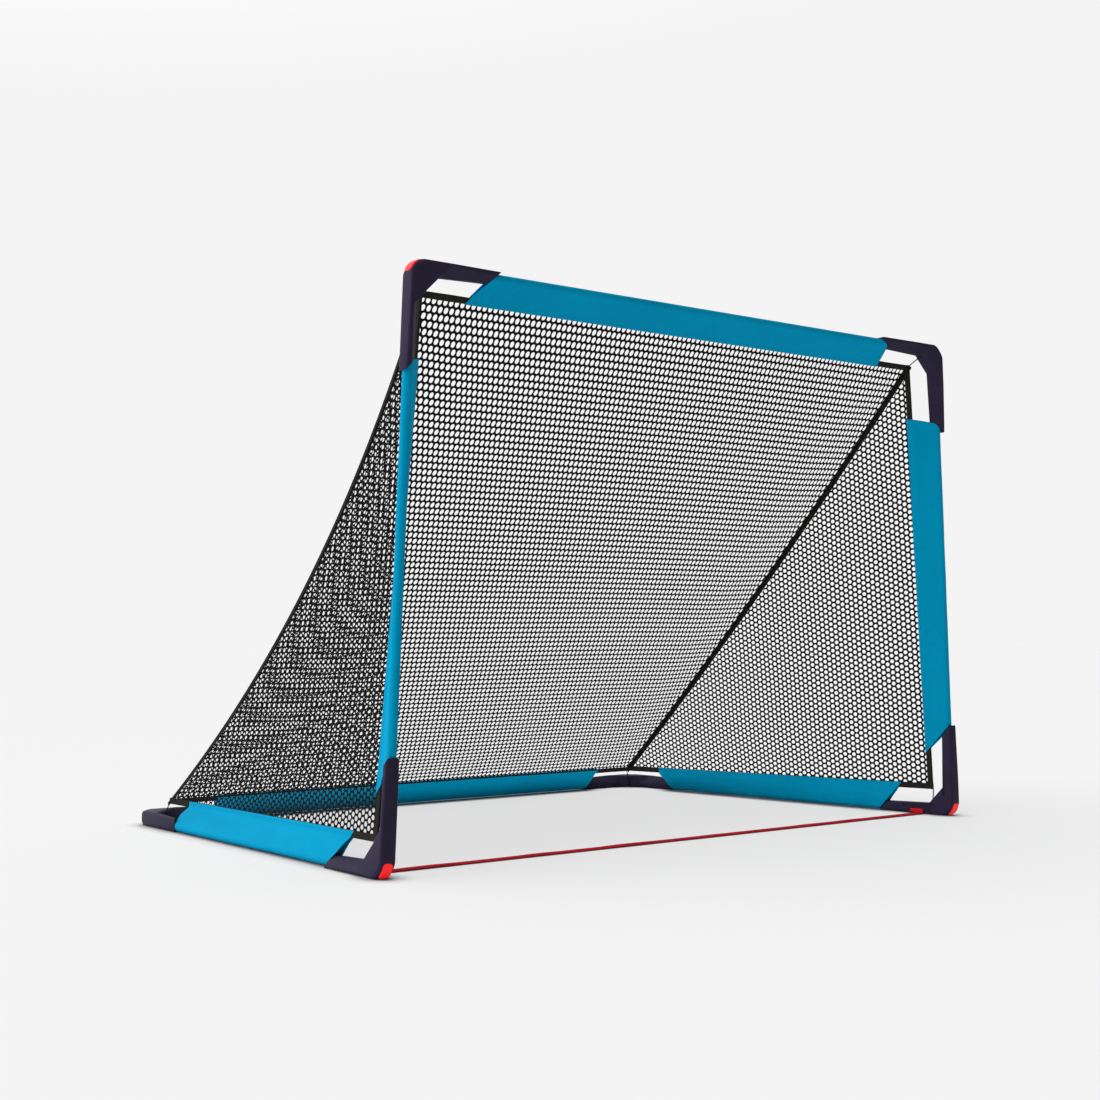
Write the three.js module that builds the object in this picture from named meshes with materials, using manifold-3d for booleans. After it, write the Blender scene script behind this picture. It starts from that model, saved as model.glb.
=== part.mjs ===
// Fold-away football goal: six moulded corner brackets, round steel poles plugged into them,
// fabric sleeves over the poles, three net panels and a strap across the mouth.
// Millimetres. +X is the goal's right, +Y runs back from the mouth, +Z is up.
// The origin is on the ground, at the middle of the whole goal.
import * as THREE from 'three';
import { mergeVertices } from 'three/addons/utils/BufferGeometryUtils.js';
import Module from 'manifold-3d';

// ---------- driving dimensions ----------
// The frame, measured between pole axes.
const mouthWidth = 1174; // between the side poles at the front corners
const crossbarWidth = 1102; // between the posts at the crossbar
const rearWidth = 1098; // between the side poles at the rear bar
const postRise = 803; // from the base poles up to the crossbar
const baseDepth = 800; // from the mouth corners back to the rear bar
const mouthLean = 4.5; // how far the crossbar stands forward of the mouth corners

// Poles and the ferrules that join the two halves of the long ones.
const poleRadius = 5.5;
const poleWall = 1;
const ferruleLength = 120;
const ferruleWall = 1.2;

// Moulded corner brackets.
const bracketFront = 15; // from the pole axes to a bracket's outward face
const bracketBack = 9; // from the pole axes to its inward face
const armLength = 152; // from the outer corner to an arm's tip
const footArmLength = 159; // the same at the front corners
const armRoot = 20; // arm width beside the inner corner
const armTip = 17; // arm width at its end
const tipSlant = 18; // how much shorter the arm's inner edge is
const facetStart = 5; // from the outer edge to where an arm's outward face starts to fall
const facetFall = 16; // how far it has fallen at the arm's inner edge
const outerReach = 9; // from a pole's axis to the bracket's outer edge
const footReach = 10.6; // the same under a front corner, before the foot is cut flat
const cornerRadius = 23;
const gussetLeg = 29;
const edgeChamfer = 3;
const socketStart = 30; // solid stock left around a bracket's corner
const slotWidth = 3.2;
const slotDepth = 8;

// Soft inserts on the outer corners of the mouth.
const insertWidth = 17;
const insertThickness = 3;
const insertProud = 0.6;
const insertFrom = 16; // degrees of the corner's quarter turn
const insertTo = 74;

// Fabric: sleeves, nets, edge bindings and seams.
const fabric = 1;
const footSlant = 1.05; // run of a sleeve's cut end at a front corner per millimetre across it
const farSlant = 0.55; // the same at the top and rear corners
const sleeveGap = 2; // between a bracket's tip and the sleeve
const sleeveNose = 6; // radius inside the sleeve, round the pole
const netInset = 36; // from the long poles to the back net's edge, in its plane
const netSideInset = 32; // from the side poles to the back net's edge
const sideSetback = 32; // from the post's axis back to the front lower corner of a side net
const sideLift = 35; // from the base pole's axis up to that corner
const sideTuck = 4; // how far inward of both axes it is
const netThickness = 1.6;
const bindingWidth = 10;
const bindingWeb = 2;
const bindingWall = 0.7;
const seamLeg = 5;
const seamInset = 1.2; // from the line where two nets meet to each net's edge
const seamThickness = 1.2;
const tieRadius = 1.25;
const tieDepth = 4.5; // how far a tie reaches into its slot

// Openings of the nets, a coarse count of the real mesh.
const cellPitch = 76;
const cellHole = 0.84; // share of the pitch that is open

// The strap across the mouth.
const strapWidth = 16;
const strapThickness = 1.5;
const strapSetback = 54; // behind the front corners' axis
const strapLift = 0.3;
const strapRise = 11.5; // height of the slot its end turns into
const strapTongue = 2.5;

const clearance = 0.3; // between pieces that touch
const bindingHalf = netThickness / 2 + clearance + bindingWall;

// ---------- points of the frame ----------
const bracketDepth = bracketFront + bracketBack;
const baseLevel = bracketBack;
const topLevel = baseLevel + postRise;
const frontLine = (mouthLean - baseDepth) / 2;
const rearLine = frontLine + baseDepth;
const topLine = frontLine - mouthLean;
const up = new THREE.Vector3(0, 0, 1);
const socketRadius = poleRadius + clearance;

function cornersOf(side) {
  const front = new THREE.Vector3((side * mouthWidth) / 2, frontLine, baseLevel);
  const top = new THREE.Vector3((side * crossbarWidth) / 2, topLine, topLevel);
  const rear = new THREE.Vector3((side * rearWidth) / 2, rearLine, baseLevel);
  const slope = rear.clone().sub(top).setX(0).normalize();
  const netHalf = Math.min(crossbarWidth, rearWidth) / 2 - netSideInset;
  const netTop = top.clone().setX(side * netHalf).addScaledVector(slope, netInset);
  const netRear = rear.clone().setX(side * netHalf).addScaledVector(slope, -netInset);
  const alongBase = rear.clone().sub(front).normalize();
  const alongPost = top.clone().sub(front).normalize();
  const netFront = front.clone().setX(front.x - side * sideTuck);
  netFront.addScaledVector(alongBase, sideSetback).addScaledVector(alongPost, sideLift);
  return { front, top, rear, netTop, netRear, netFront };
}
const left = cornersOf(-1);
const right = cornersOf(1);

// ---------- solids ----------
const wasm = await Module();
wasm.setup();

function toSolid(geometry) {
  const bare = geometry.clone();
  bare.deleteAttribute('normal');
  bare.deleteAttribute('uv');
  const merged = mergeVertices(bare, 1e-4);
  const vertProperties = new Float32Array(merged.attributes.position.array);
  const triVerts = new Uint32Array(merged.index.array);
  return new wasm.Manifold(new wasm.Mesh({ numProp: 3, vertProperties, triVerts }));
}

function toGeometry(solid) {
  const mesh = solid.getMesh();
  const geometry = new THREE.BufferGeometry();
  geometry.setAttribute('position', new THREE.BufferAttribute(mesh.vertProperties, 3));
  geometry.setIndex(new THREE.BufferAttribute(mesh.triVerts, 1));
  return geometry;
}

function cut(body, ...tools) {
  return toGeometry(tools.reduce((rest, tool) => rest.subtract(toSolid(tool)), toSolid(body)));
}

// A matrix whose X axis is across, whose Z axis is along, and whose Y axis follows from them.
function basis(origin, across, along) {
  const other = along.clone().cross(across).normalize();
  return new THREE.Matrix4().makeBasis(across, other, along).setPosition(origin);
}

// A straight bar with the given outline, from origin for length along a direction.
function bar(outline, origin, across, along, length) {
  const shape = new THREE.Shape(outline.map(([x, y]) => new THREE.Vector2(x, y)));
  const geometry = new THREE.ExtrudeGeometry(shape, { depth: length, bevelEnabled: false });
  return geometry.applyMatrix4(basis(origin, across, along));
}

function sideways(along) {
  const helper = Math.abs(along.z) > 0.9 ? new THREE.Vector3(0, 1, 0) : up;
  return along.clone().cross(helper).normalize();
}

function rod(from, to, radius, sides) {
  const along = to.clone().sub(from);
  const length = along.length();
  const geometry = new THREE.CylinderGeometry(radius, radius, length, sides);
  geometry.rotateX(Math.PI / 2).translate(0, 0, length / 2);
  along.normalize();
  return geometry.applyMatrix4(basis(from, sideways(along), along));
}

function tube(from, to, radius, wall) {
  const along = to.clone().sub(from);
  const length = along.length();
  const shape = new THREE.Shape().absarc(0, 0, radius, 0, 2 * Math.PI);
  shape.holes.push(new THREE.Path().absarc(0, 0, radius - wall, 0, 2 * Math.PI, true));
  const geometry = new THREE.ExtrudeGeometry(shape, {
    depth: length,
    bevelEnabled: false,
    curveSegments: 12,
  });
  along.normalize();
  return geometry.applyMatrix4(basis(from, sideways(along), along));
}

// ---------- corner brackets ----------
// The plane of a bracket holds two pole axes that meet at corner. Points in it are written
// along arm A and square to it, with arm B at the angle between the two poles.
function bracketPlane(corner, towardA, towardB, reachA, arm) {
  const a = towardA.clone().sub(corner).normalize();
  const b = towardB.clone().sub(corner).normalize();
  const normal = a.clone().cross(b).normalize();
  const square = normal.clone().cross(a);
  const angle = a.angleTo(b);
  const matrix = new THREE.Matrix4().makeBasis(a, square, normal).setPosition(corner);
  const meet = (offA, offB) => {
    const x = (offB + offA * Math.cos(angle)) / Math.sin(angle);
    return new THREE.Vector2(x, offA);
  };
  const alongA = new THREE.Vector2(1, 0);
  const alongB = new THREE.Vector2(Math.cos(angle), Math.sin(angle));
  const inwardB = new THREE.Vector2(Math.sin(angle), -Math.cos(angle));
  const outer = meet(-reachA, -outerReach);
  const inner = meet(armRoot - outerReach, armRoot - outerReach);
  const gussetA = inner.clone().addScaledVector(alongA, gussetLeg);
  const gussetB = inner.clone().addScaledVector(alongB, gussetLeg);
  const middle = gussetA.clone().add(gussetB).multiplyScalar(0.5);
  const face = gussetB.clone().sub(gussetA).normalize();
  const inward = new THREE.Vector2(face.y, -face.x);
  const arcCentre = meet(cornerRadius - reachA, cornerRadius - outerReach);
  return {
    matrix, angle, a, b, normal, reachA, arm, alongA, alongB, inwardB, outer, gussetA, gussetB, middle, face,
    inward, arcCentre,
  };
}

function centred(shape, depth, chamfer, curveSegments) {
  const geometry = new THREE.ExtrudeGeometry(shape, {
    depth: depth - 2 * chamfer,
    bevelEnabled: chamfer > 0,
    bevelThickness: chamfer,
    bevelSize: chamfer,
    bevelOffset: -chamfer,
    bevelSegments: 1,
    curveSegments,
  });
  return geometry.translate(0, 0, chamfer - depth / 2);
}

// How far the middle of a bracket's depth lies from the pole axes.
function depthShift(away) {
  return (away * (bracketFront - bracketBack)) / 2;
}

function bracketBody(plane, away) {
  const { outer, arm, alongA, alongB, inwardB, gussetA, gussetB, arcCentre, angle } = plane;
  const tipA = outer.clone().addScaledVector(alongA, arm);
  const backA = new THREE.Vector2(tipA.x - tipSlant, armTip - outerReach);
  const tipB = outer.clone().addScaledVector(alongB, arm);
  const backB = outer.clone().addScaledVector(alongB, arm - tipSlant);
  backB.addScaledVector(inwardB, armTip);
  const shape = new THREE.Shape();
  shape.moveTo(tipA.x, tipA.y);
  shape.lineTo(backA.x, backA.y);
  shape.lineTo(gussetA.x, gussetA.y);
  shape.lineTo(gussetB.x, gussetB.y);
  shape.lineTo(backB.x, backB.y);
  shape.lineTo(tipB.x, tipB.y);
  shape.absarc(arcCentre.x, arcCentre.y, cornerRadius, angle + Math.PI / 2, 1.5 * Math.PI);
  return centred(shape, bracketDepth, edgeChamfer, 8).translate(0, 0, depthShift(away));
}

// The wedge cut from an arm so that its outward face falls away towards the inner edge. It
// starts on the gusset's line carried on to the arm's outer edge. away is 1 or -1 in depth.
function armWedge(plane, arm, away) {
  const { outer, reachA, alongA, alongB, inwardB, gussetA, gussetB, face } = plane;
  const along = arm === 'a' ? alongA : alongB;
  const inward = arm === 'a' ? new THREE.Vector2(0, 1) : inwardB;
  const gusset = arm === 'a' ? gussetA : gussetB;
  const across = gusset.clone().sub(outer).dot(inward);
  const creaseAt = gusset.clone().sub(outer).dot(along);
  const lean = face.dot(along) / face.dot(inward);
  const extra = arm === 'a' ? reachA - outerReach : 0;
  const widest = armRoot + edgeChamfer;
  const fall = (facetFall / (armRoot - facetStart)) * (widest - facetStart);
  const over = 1;
  const overStart = facetStart - (over * (armRoot - facetStart)) / facetFall;
  const corners = [[overStart, bracketFront + over], [widest, bracketFront + over],
    [widest, bracketFront - fall]].map(([t, depth]) => [t + extra, depth]);
  const ring = (reachAt) => corners.map(([t, depth]) => {
    const p = outer.clone().addScaledVector(inward, t).addScaledVector(along, reachAt(t));
    return new THREE.Vector3(p.x, p.y, away * depth);
  });
  const start = ring((t) => creaseAt + (t - across) * lean);
  const end = ring(() => plane.arm + bracketDepth);
  const rings = inward.cross(along) * away > 0 ? [start, end] : [end, start];
  return loft(rings, [new THREE.Vector2(0, 0), new THREE.Vector2(1, 0), new THREE.Vector2(1, 1)]);
}

// The block that fills the outer corner between two radii, grown by a gap on every side.
function insertBlock(plane, inside, outside, gap, away) {
  const { arcCentre, angle } = plane;
  const turn = Math.PI - angle;
  const start = angle + Math.PI / 2 + (turn * insertFrom) / 90 - gap / cornerRadius;
  const end = angle + Math.PI / 2 + (turn * insertTo) / 90 + gap / cornerRadius;
  const shape = new THREE.Shape();
  shape.absarc(arcCentre.x, arcCentre.y, outside, start, end);
  shape.absarc(arcCentre.x, arcCentre.y, inside, end, start, true);
  return centred(shape, insertWidth + 2 * gap, 0, 6).translate(0, 0, depthShift(away));
}

// The slot across the gusset's face that a net tie hooks into.
function tieSlot(plane, shift) {
  const { middle, face } = plane;
  const along = new THREE.Vector3(face.x, face.y, 0);
  const half = slotWidth / 2;
  const outline = [[shift - half, -1], [shift + half, -1], [shift + half, slotDepth],
    [shift - half, slotDepth]];
  const start = new THREE.Vector3(middle.x, middle.y, -bracketDepth);
  return bar(outline, start, along, up, 2 * bracketDepth);
}

function socket(direction, arm) {
  const from = direction.clone().multiplyScalar(socketStart);
  const to = direction.clone().multiplyScalar(arm + outerReach);
  return rod(from, to, socketRadius, 24);
}

// ---------- sleeves ----------
// One face of a sleeve in section: round the pole, straight back to the net's edge at reach,
// then along the net. half is the face's distance from the middle there.
function keyhole(radius, half, reach, netWay) {
  const bend = new THREE.Vector2(reach, 0);
  const end = bend.clone().addScaledVector(netWay, bindingWidth - clearance);
  const squareEnd = new THREE.Vector2(-netWay.y, netWay.x);
  const mitre = squareEnd.clone().add(new THREE.Vector2(0, 1));
  mitre.multiplyScalar(1 / (1 + squareEnd.y));
  const halves = [1, -1].map((way) => [
    end.clone().addScaledVector(squareEnd, way * half),
    bend.clone().addScaledVector(mitre, way * half),
  ]);
  const tangentAt = (p) => Math.atan2(p.y, p.x) + Math.sign(p.y) * Math.acos(radius / p.length());
  const start = tangentAt(halves[0][1]);
  const finish = 2 * Math.PI + tangentAt(halves[1][1]);
  const steps = 14;
  const points = [...halves[0]];
  for (let i = 0; i <= steps; i += 1) {
    const at = start + ((finish - start) * i) / steps;
    points.push(new THREE.Vector2(radius * Math.cos(at), radius * Math.sin(at)));
  }
  return points.concat([halves[1][1], halves[1][0]]);
}

// A closed body through rings of equal count, with flat caps on the first and last one.
function loft(rings, capOutline) {
  const count = rings[0].length;
  const positions = [];
  const triangles = [];
  rings.forEach((ring) => ring.forEach((p) => positions.push(p.x, p.y, p.z)));
  for (let r = 0; r + 1 < rings.length; r += 1) {
    for (let i = 0; i < count; i += 1) {
      const here = r * count + i;
      const next = r * count + ((i + 1) % count);
      const [p, q] = [rings[r][i], rings[r][(i + 1) % count]];
      const [u, v] = [rings[r + 1][i], rings[r + 1][(i + 1) % count]];
      if (p.distanceTo(v) < q.distanceTo(u)) {
        triangles.push(here, next, next + count, here, next + count, here + count);
      } else {
        triangles.push(here, next, here + count, next, next + count, here + count);
      }
    }
  }
  const last = (rings.length - 1) * count;
  THREE.ShapeUtils.triangulateShape(capOutline, []).forEach(([i, j, k]) => {
    triangles.push(k, j, i);
    triangles.push(last + i, last + j, last + k);
  });
  const geometry = new THREE.BufferGeometry();
  geometry.setAttribute('position', new THREE.Float32BufferAttribute(positions, 3));
  geometry.setIndex(triangles);
  return geometry;
}

// Each of the two ends stops at a bracket's arm and is cut aslant by its own amount, towards
// besideFrom or besideTo, where the bracket's other arm points.
const frontEnd = { arm: footArmLength, slanting: footSlant };
const farEnd = { arm: armLength, slanting: farSlant };

function sleeve(from, to, netFrom, netTo, besideFrom, besideTo, netNormal, ends) {
  const along = to.clone().sub(from);
  const length = along.length();
  along.normalize();
  const run = netTo.clone().sub(netFrom);
  const stations = 5;
  const [startAt, stopAt] = ends.map(({ arm }) => arm - outerReach + sleeveGap);
  const squareTo = (corner, beside) => {
    const way = beside.clone().sub(corner);
    return way.addScaledVector(along, -way.dot(along)).normalize();
  };
  const netEdge = run.clone().normalize();
  const intoNet = netNormal.clone().cross(netEdge);
  intoNet.multiplyScalar(Math.sign(intoNet.dot(netFrom.clone().sub(from))));
  const slantFrom = squareTo(from, besideFrom);
  const slantTo = squareTo(to, besideTo);
  const inner = bindingHalf + clearance;
  const section = (s) => {
    const centre = from.clone().addScaledVector(along, s);
    const share = centre.clone().sub(netFrom).dot(along) / run.dot(along);
    const tailWay = netFrom.clone().addScaledVector(run, share).sub(centre);
    const reach = tailWay.length();
    tailWay.normalize();
    const across = along.clone().cross(tailWay);
    const netWay = new THREE.Vector2(intoNet.dot(tailWay), intoNet.dot(across)).normalize();
    const outside = keyhole(sleeveNose + fabric, inner + fabric, reach, netWay);
    const outline = outside.concat(keyhole(sleeveNose, inner, reach, netWay).reverse());
    const place = ({ x, y }) => (
      centre.clone().addScaledVector(tailWay, x).addScaledVector(across, y)
    );
    return { centre, outline, points: outline.map(place) };
  };
  const endRing = (s, slant, way, slanting) => {
    const { centre, points } = section(s);
    return points.map((point, j) => {
      const shift = way * slanting * (point.clone().sub(centre).dot(slant) + outerReach);
      return section(s + shift).points[j];
    });
  };
  const rings = [endRing(startAt, slantFrom, -1, ends[0].slanting)];
  for (let i = 0; i < stations; i += 1) {
    rings.push(section(startAt + ((length - startAt - stopAt) * i) / (stations - 1)).points);
  }
  rings.push(endRing(length - stopAt, slantTo, 1, ends[1].slanting));
  return loft(rings, section(length / 2).outline);
}

// ---------- nets, bindings, seams and ties ----------
function inset(polygon, amounts) {
  const count = polygon.length;
  const lines = polygon.map((p, i) => {
    const way = polygon[(i + 1) % count].clone().sub(p).normalize();
    const inward = new THREE.Vector2(-way.y, way.x);
    return { point: p.clone().addScaledVector(inward, amounts[i]), way };
  });
  return lines.map((line, i) => {
    const before = lines[(i + count - 1) % count];
    const gap = line.point.clone().sub(before.point);
    const t = gap.cross(line.way) / before.way.cross(line.way);
    return before.point.clone().addScaledVector(before.way, t);
  });
}

function distanceInside(polygon, x, y) {
  const p = new THREE.Vector2(x, y);
  return Math.min(...polygon.map((from, i) => {
    const way = polygon[(i + 1) % polygon.length].clone().sub(from).normalize();
    return way.cross(p.clone().sub(from));
  }));
}

// A net panel: six-sided openings in staggered rows, kept clear of the edge bindings.
function netPanel(corners, across, normal, edgeInsets, turned) {
  const origin = corners[0];
  const matrix = new THREE.Matrix4();
  const square = normal.clone().cross(across).normalize();
  matrix.makeBasis(across, square, normal).setPosition(origin);
  const back = matrix.clone().invert();
  const flat = corners.map((p) => {
    const q = p.clone().applyMatrix4(back);
    return new THREE.Vector2(q.x, q.y);
  });
  const outline = inset(flat, edgeInsets);
  const xs = outline.map((p) => p.x);
  const ys = outline.map((p) => p.y);
  const shape = new THREE.Shape(outline);
  const rowStep = (cellPitch * Math.sqrt(3)) / 2;
  const holeRadius = (cellPitch * cellHole) / Math.sqrt(3);
  const stepX = turned ? rowStep : cellPitch;
  const stepY = turned ? cellPitch : rowStep;
  const middleX = (Math.min(...xs) + Math.max(...xs)) / 2;
  const middleY = (Math.min(...ys) + Math.max(...ys)) / 2;
  const countX = Math.ceil((Math.max(...xs) - middleX) / stepX);
  const countY = Math.ceil((Math.max(...ys) - middleY) / stepY);
  for (let i = -countX; i <= countX; i += 1) {
    for (let j = -countY; j <= countY; j += 1) {
      const staggerX = !turned && j % 2 !== 0 ? stepX / 2 : 0;
      const staggerY = turned && i % 2 !== 0 ? stepY / 2 : 0;
      const x = middleX + i * stepX + staggerX;
      const y = middleY + j * stepY + staggerY;
      if (distanceInside(outline, x, y) > holeRadius + bindingWidth) {
        const hole = new THREE.Path();
        for (let k = 0; k < 6; k += 1) {
          const at = ((k + (turned ? 0 : 0.5)) * Math.PI) / 3;
          const px = x + holeRadius * Math.cos(at);
          const py = y + holeRadius * Math.sin(at);
          if (k === 0) hole.moveTo(px, py);
          else hole.lineTo(px, py);
        }
        hole.closePath();
        shape.holes.push(hole);
      }
    }
  }
  const geometry = new THREE.ExtrudeGeometry(shape, { depth: netThickness, bevelEnabled: false });
  return geometry.translate(0, 0, -netThickness / 2).applyMatrix4(matrix);
}

// Tape folded over a net's edge: its outer edge lies on the line from one corner to the other.
function binding(from, to, normal, startCut, endCut) {
  const along = to.clone().sub(from);
  const length = along.length();
  along.normalize();
  const inward = normal.clone().cross(along).normalize();
  const inner = netThickness / 2 + clearance;
  const outer = inner + bindingWall;
  const outline = [[0, -outer], [bindingWidth, -outer], [bindingWidth, -inner],
    [bindingWeb, -inner], [bindingWeb, inner], [bindingWidth, inner], [bindingWidth, outer],
    [0, outer]];
  const start = from.clone().addScaledVector(along, startCut);
  return bar(outline, start, inward, along, length - startCut - endCut);
}

// How far a binding stops short of a sharp corner, so that it clears the seam's leg.
function sharpCut(cornerPoint, bindingTo, seamTo) {
  const a = bindingTo.clone().sub(cornerPoint);
  const b = seamTo.clone().sub(cornerPoint);
  const angle = a.angleTo(b);
  return (seamLeg + 2 * clearance + bindingWidth * Math.cos(angle)) / Math.sin(angle);
}

// Tape over the edge where the back net meets a side net, with one leg on each.
function seam(side, corners, backNormal, sideNormal) {
  const along = corners.netRear.clone().sub(corners.netTop);
  const length = along.length();
  along.normalize();
  const outward = new THREE.Vector3(side, 0, 0);
  const tilt = Math.asin(sideNormal.dot(backNormal));
  const corner = (k) => [(k * (1 - Math.sin(tilt))) / Math.cos(tilt), k];
  const legEnd = (k) => [
    seamLeg * Math.sin(tilt) + k * Math.cos(tilt),
    -seamLeg * Math.cos(tilt) + k * Math.sin(tilt),
  ];
  const inner = netThickness / 2 + clearance;
  const outer = inner + seamThickness;
  const handed = along.clone().cross(outward).dot(backNormal) > 0 ? 1 : -1;
  const outline = [[-seamLeg, inner], corner(inner), legEnd(inner), legEnd(outer), corner(outer),
    [-seamLeg, outer]].map(([x, y]) => [x, y * handed]);
  return bar(outline, corners.netTop.clone(), outward, along, length);
}

// ---------- the assembly ----------
const goal = new THREE.Group();

// The strap runs from the inner face of one front bracket's base arm to the other's.
const strapMiddle = frontLine + strapSetback;
const strapEnd = (() => {
  const { matrix, normal } = bracketPlane(right.front, right.rear, right.top, footReach, footArmLength);
  const onFace = new THREE.Vector3(0, 0, -bracketBack).applyMatrix4(matrix);
  const reach = (y, z) => {
    const across = normal.y * (y - onFace.y) + normal.z * (z - onFace.z);
    return onFace.x - across / normal.x;
  };
  const half = strapWidth / 2;
  const nearest = Math.min(...[-half, half].flatMap((y) => [0, strapRise].map((z) => (
    reach(strapMiddle + y, z)
  ))));
  return nearest - clearance;
})();

function strapSlot(side) {
  const deep = strapTongue + clearance;
  const high = strapThickness + 2 * clearance;
  const slot = new THREE.BoxGeometry(2 * deep, strapWidth + 2 * clearance, high);
  const level = strapRise + strapThickness / 2;
  return slot.translate(side * strapEnd, strapMiddle, level);
}

const finishes = {
  moulding: new THREE.MeshStandardMaterial({ color: 0x1f1b30, roughness: 0.55, metalness: 0 }),
  insert: new THREE.MeshStandardMaterial({ color: 0xe01f1f, roughness: 0.5, metalness: 0 }),
  steel: new THREE.MeshStandardMaterial({ color: 0x3a3d42, roughness: 0.45, metalness: 0.8 }),
  sleeve: new THREE.MeshStandardMaterial({ color: 0x0082ab, roughness: 0.7, metalness: 0 }),
  net: new THREE.MeshStandardMaterial({ color: 0x0c0c0d, roughness: 0.85, metalness: 0 }),
  binding: new THREE.MeshStandardMaterial({ color: 0x262624, roughness: 0.85, metalness: 0 }),
  strap: new THREE.MeshStandardMaterial({ color: 0xd02626, roughness: 0.75, metalness: 0 }),
};

function add(name, geometry, finish) {
  const mesh = new THREE.Mesh(geometry, finishes[finish].clone());
  mesh.name = name;
  goal.add(mesh);
}

const crossMiddle = left.top.clone().add(right.top).multiplyScalar(0.5);
const rearMiddle = left.rear.clone().add(right.rear).multiplyScalar(0.5);
const backNormal = left.netRear.clone().sub(left.netTop)
  .cross(new THREE.Vector3(-1, 0, 0)).normalize();

// From a bracket's corner, a pole starts just past the bottom of its socket.
function poleEnd(corner, towards) {
  const way = towards.clone().sub(corner).normalize();
  return corner.clone().addScaledVector(way, socketStart + clearance);
}

function ground() {
  const block = new THREE.BoxGeometry(2 * mouthWidth, 2 * baseDepth, bracketDepth);
  return block.translate(0, 0, -bracketDepth / 2);
}

function addBracket(name, corner, towardA, towardB, options) {
  const arm = options.foot ? footArmLength : armLength;
  const plane = bracketPlane(corner, towardA, towardB, options.reachA ?? outerReach, arm);
  const { matrix, middle, face, inward, alongA, alongB } = plane;
  const netLocal = options.netCorner.clone().applyMatrix4(matrix.clone().invert());
  const fromMiddle = new THREE.Vector2(netLocal.x, netLocal.y).sub(middle);
  const shift = fromMiddle.dot(face);
  const cutters = [
    socket(new THREE.Vector3(alongA.x, alongA.y, 0), arm),
    socket(new THREE.Vector3(alongB.x, alongB.y, 0), arm),
    tieSlot(plane, shift),
    armWedge(plane, 'a', options.away),
    armWedge(plane, 'b', options.away),
  ];
  if (options.insert) {
    const deep = cornerRadius - insertThickness;
    const inserted = insertBlock(plane, deep, cornerRadius + insertProud, 0, options.away);
    inserted.applyMatrix4(matrix);
    add(`${name}_insert`, options.foot ? cut(inserted, ground()) : inserted, 'insert');
    const room = cornerRadius + edgeChamfer;
    cutters.push(insertBlock(plane, deep - clearance, room, clearance, options.away));
  }
  cutters.forEach((cutter) => cutter.applyMatrix4(matrix));
  if (options.foot) {
    cutters.push(ground(), strapSlot(options.foot));
  }
  const body = bracketBody(plane, options.away).applyMatrix4(matrix);
  add(`${name}_bracket`, cut(body, ...cutters), 'moulding');
  const depthSide = Math.sign(netLocal.z);
  const beside = Math.abs(netLocal.z) > bracketDepth / 2;
  const hold = middle.clone().addScaledVector(face, shift).addScaledVector(inward, -tieDepth);
  const holdDepth = beside ? depthSide * 2 : netLocal.z;
  const end = new THREE.Vector3(hold.x, hold.y, holdDepth).applyMatrix4(matrix);
  const way = end.clone().sub(options.netCorner).normalize();
  const start = options.netCorner.clone().addScaledVector(way, 2 * clearance);
  add(`${name}_net_tie`, rod(start, end, tieRadius, 8), 'binding');
}

[['left', -1, left, right], ['right', 1, right, left]].forEach(([word, side, own, other]) => {
  addBracket(`${word}_top`, own.top, other.top, own.front, {
    netCorner: own.netTop,
    insert: true,
    away: side,
  });
  addBracket(`${word}_front`, own.front, own.rear, own.top, {
    netCorner: own.netFront,
    insert: true,
    away: side,
    reachA: footReach,
    foot: side,
  });
  addBracket(`${word}_rear`, own.rear, own.front, other.rear, {
    netCorner: own.netRear,
    away: -side,
  });

  add(`${word}_post_pole`, tube(poleEnd(own.front, own.top), poleEnd(own.top, own.front),
    poleRadius, poleWall), 'steel');
  add(`${word}_base_pole`, tube(poleEnd(own.front, own.rear), poleEnd(own.rear, own.front),
    poleRadius, poleWall), 'steel');
  const jointGap = new THREE.Vector3((side * clearance) / 2, 0, 0);
  add(`${word}_crossbar_pole`, tube(crossMiddle.clone().add(jointGap),
    poleEnd(own.top, other.top), poleRadius, poleWall), 'steel');
  add(`${word}_rear_pole`, tube(rearMiddle.clone().add(jointGap),
    poleEnd(own.rear, other.rear), poleRadius, poleWall), 'steel');

  const ahead = own.netTop.clone().sub(own.netFront);
  const behind = own.netRear.clone().sub(own.netFront);
  const inFace = behind.clone().cross(ahead).normalize();
  const outFace = inFace.clone().multiplyScalar(Math.sign(inFace.x) * side);
  add(`${word}_post_sleeve`, sleeve(own.front, own.top, own.netFront, own.netTop,
    own.rear, other.top, outFace, [frontEnd, farEnd]), 'sleeve');
  add(`${word}_base_sleeve`, sleeve(own.front, own.rear, own.netFront, own.netRear,
    own.top, other.rear, outFace, [frontEnd, farEnd]), 'sleeve');
  const corners = side > 0
    ? [own.netFront, own.netRear, own.netTop]
    : [own.netFront, own.netTop, own.netRear];
  const edges = [bindingWeb + clearance, seamInset, bindingWeb + clearance];
  const level = new THREE.Vector3(0, 1, 0);
  level.addScaledVector(outFace, -level.dot(outFace)).normalize();
  add(`${word}_net`, netPanel(corners, level, outFace, edges, true), 'net');
  const topCut = sharpCut(own.netTop, own.netFront, own.netRear);
  const rearCut = sharpCut(own.netRear, own.netFront, own.netTop);
  const frontFace = outFace.clone().multiplyScalar(-side);
  add(`${word}_net_front_binding`,
    binding(own.netFront, own.netTop, frontFace, 0, topCut), 'binding');
  add(`${word}_net_base_binding`,
    binding(own.netFront, own.netRear, frontFace.clone().negate(), bindingWidth + clearance,
      rearCut), 'binding');
  add(`${word}_seam`, seam(side, own, backNormal, outFace), 'binding');
});

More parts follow.
